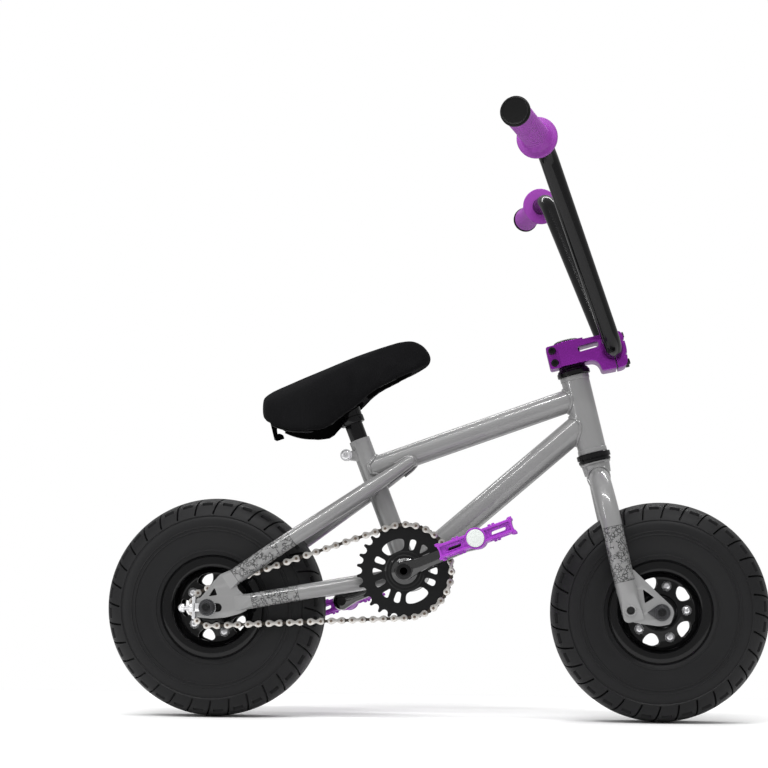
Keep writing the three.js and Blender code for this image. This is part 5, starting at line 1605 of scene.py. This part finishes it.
def seat_pan():
    """The thin pan under the cover, following its underside inside its outline."""
    upper = [(x, z - 0.6) for x, z in SEAT_UNDER]
    lower = [(x + 1, z - (4.2 if x < -20 else 2)) for x, z in SEAT_UNDER[:-1]]
    pan = plate([*upper, *reversed(lower)], 150)
    plan = [(x + (3 if x < -80 else 8), y - 11) for x, y in SEAT_PLAN if -103 < x < 88]
    plan += [(x, -y) for x, y in reversed(plan)]
    boolean(pan, [moved(plate(plan, 400), Matrix.Rotation(math.radians(-90), 4, "X"))], "INTERSECT")
    return painted(bevelled(pan, 0.8, 2, 50), seat_plastic)


def pan_rims():
    """A glossy line along each edge of the pan."""
    rims = []
    for way in (1, -1):
        line = [(x, way * (read_off(SEAT_PLAN, x) - 8), z - 1 - read_off(HEM_DROP, x) * 0.5)
                for x, z in SEAT_UNDER[2:-1]]
        rims.append(painted(tube([tuple(p) for p in curved(line, 3)], 1.1, sides=10), black_gloss))
    return rims


def seat_collar():
    """The collar round the post, cut off where it meets the pan, with the notch behind it."""
    collar = ring_lathe([(196, 11.5), (196, 14.6), (196.6, 15), (203.6, 15), (204.4, 14.2), (212, 14.6),
                         (222, 16), (236, 18), (236, 11.5)], 64)
    moved(collar, SEATED)
    above = [(x, z - 1.5) for x, z in SEAT_UNDER]
    above += [(200, 90), (200, 200), (-200, 200), (-200, 0)]
    cut(collar, moved(plate(above, 180, edge=0.01), Matrix.Translation(SEAT_AT)))
    notch = moved(bevelled(block((-20, -5, 204), (-13, 5, 213)), 0.8), SEATED)
    return painted(collar, black_gloss), painted(notch, seat_plastic)


def seat_shell():
    """All that is under the cover: the pan and its rims, a small bracket behind, and the post's collar."""
    strip = [(-91, -12), (-97.7, -14), (-91.8, -36.6), (-81.4, -33.3), (-83.1, -28.5), (-86.8, -27.8),
             (-90, -29.5), (-91.2, -20.6), (-85, -16)]
    bracket = painted(bevelled(plate(rounded(strip, 1.4, 3), 15), 0.4, 2, 50), seat_plastic)
    o = moved(together(seat_pan(), bracket, *pan_rims()), Matrix.Translation(SEAT_AT))
    together(o, *seat_collar())
    piece(o, "seat_pan", "seat", "black_plastic", seat_plastic, "seat_base", angle=40)


def seat_post():
    """The post, with a shallow bore at its foot."""
    foot, top = 108, SEAT_TUBE_LENGTH + 29
    outside, inside = 11.1, 9.4
    post = lathe([(foot, inside), (foot, outside - 0.5), (foot + 0.6, outside), (top - 0.4, outside),
                  (top, outside - 0.3), (top, 0), (foot + 4, 0), (foot + 4, inside), (foot, inside)], 64)
    piece(post, "seat_post_tube", "seat", "black_gloss", black_gloss, "seat_post", matrix=SEATED)


seat_post()
seat_pad()
seat_shell()


# ---------------------------------------------------------------- room, light and camera
def white_light(tree, strength):
    """A plain white background of that strength."""
    node = tree.nodes.new("ShaderNodeBackground")
    set_inputs(node, {"Color": (1, 1, 1, 1), "Strength": strength})
    return node.outputs[0]


def chosen_light(tree, test, otherwise, where_true):
    """One background or another, by a yes or no of the light path."""
    rays = tree.nodes.new("ShaderNodeLightPath")
    mix = tree.nodes.new("ShaderNodeMixShader")
    tree.links.new(rays.outputs[test], mix.inputs[0])
    tree.links.new(otherwise, mix.inputs[1])
    tree.links.new(where_true, mix.inputs[2])
    return mix.outputs[0]


def room():
    """A white room: how bright it lights, shows in gloss and looks to the camera is set apart."""
    lighting, reflected, seen = 0.42, 0.5, 1.0
    world = bpy.data.worlds.new("room")
    bpy.context.scene.world = world
    world.use_nodes = True
    tree = world.node_tree
    tree.nodes.remove(tree.nodes["Background"])
    inside = chosen_light(tree, "Is Glossy Ray", white_light(tree, lighting), white_light(tree, reflected))
    shown = chosen_light(tree, "Is Camera Ray", inside, white_light(tree, seen))
    tree.links.new(shown, tree.nodes["World Output"].inputs["Surface"])


def floor():
    """A large matt white floor just under the tyres."""
    material = bpy.data.materials.new("floor")
    material.use_nodes = True
    set_inputs(material.node_tree.nodes["Principled BSDF"],
               {"Base Color": (0.9, 0.9, 0.9, 1), "Roughness": 1, "Specular IOR Level": 0})
    bpy.ops.object.select_all(action="DESELECT")
    bpy.ops.mesh.primitive_plane_add(size=1, location=(0, -0.3, -0.0006))
    bpy.context.object.scale = (3, 1.5, 1)
    o = settled()
    o.name = "floor"
    o.data.materials.append(material)


def light(name, place, target, size, power, shows):
    """A rectangular lamp in metres and watts; one that shows is a highlight in glossy surfaces too."""
    lamp = bpy.data.lights.new(name, "AREA")
    lamp.shape = "RECTANGLE"
    lamp.size, lamp.size_y = size
    lamp.energy = power
    o = bpy.data.objects.new(name, lamp)
    o.location = place
    o.rotation_mode = "QUATERNION"
    o.rotation_quaternion = (Vector(target) - Vector(place)).to_track_quat("-Z", "Y")
    o.visible_glossy = shows
    bpy.context.scene.collection.objects.link(o)


def camera():
    """A long lens on the drive side, low down, with the lens shifted."""
    place = (0.1513, -2.3361, 0.1680)
    yaw, pitch, roll = -0.0448, 0.0487, 0.0110  # in radians, from looking straight across the bike
    lens = bpy.data.cameras.new("camera")
    lens.lens = 88.40
    lens.sensor_width = 36
    lens.shift_x = -0.1199
    lens.shift_y = 0.139
    ahead = Vector((math.sin(yaw) * math.cos(pitch), math.cos(yaw) * math.cos(pitch), math.sin(pitch)))
    right = Vector((math.cos(yaw), -math.sin(yaw), 0))
    above = right.cross(ahead)
    across = right * math.cos(roll) + above * math.sin(roll)
    up = above * math.cos(roll) - right * math.sin(roll)
    turn = Matrix((across, up, -ahead)).transposed().to_4x4()
    o = bpy.data.objects.new("camera", lens)
    o.matrix_world = Matrix.Translation(place) @ turn
    bpy.context.scene.collection.objects.link(o)
    bpy.context.scene.camera = o


room()
floor()
light("key", (-1.2, -2.2, 2.6), (0, 0, 0.3), (2.2, 1.6), 40, shows=False)
light("fill", (2.4, -1.6, 1.4), (0, 0, 0.3), (1.6, 1.6), 14, shows=False)
light("top", (0.2, 0.3, 2.8), (0, 0, 0.2), (2.6, 2.0), 18, shows=False)
light("strip_front", (0.0, -1.0, 1.9), (0, 0, 0.3), (2.6, 0.04), 28, shows=True)
light("strip_back", (0.0, 0.9, 1.8), (0, 0, 0.3), (2.6, 0.1), 16, shows=True)
light("strip_side", (-1.9, -1.5, 0.9), (0, 0, 0.3), (0.05, 1.4), 10, shows=True)
camera()
bpy.context.scene.view_settings.view_transform = "Standard"
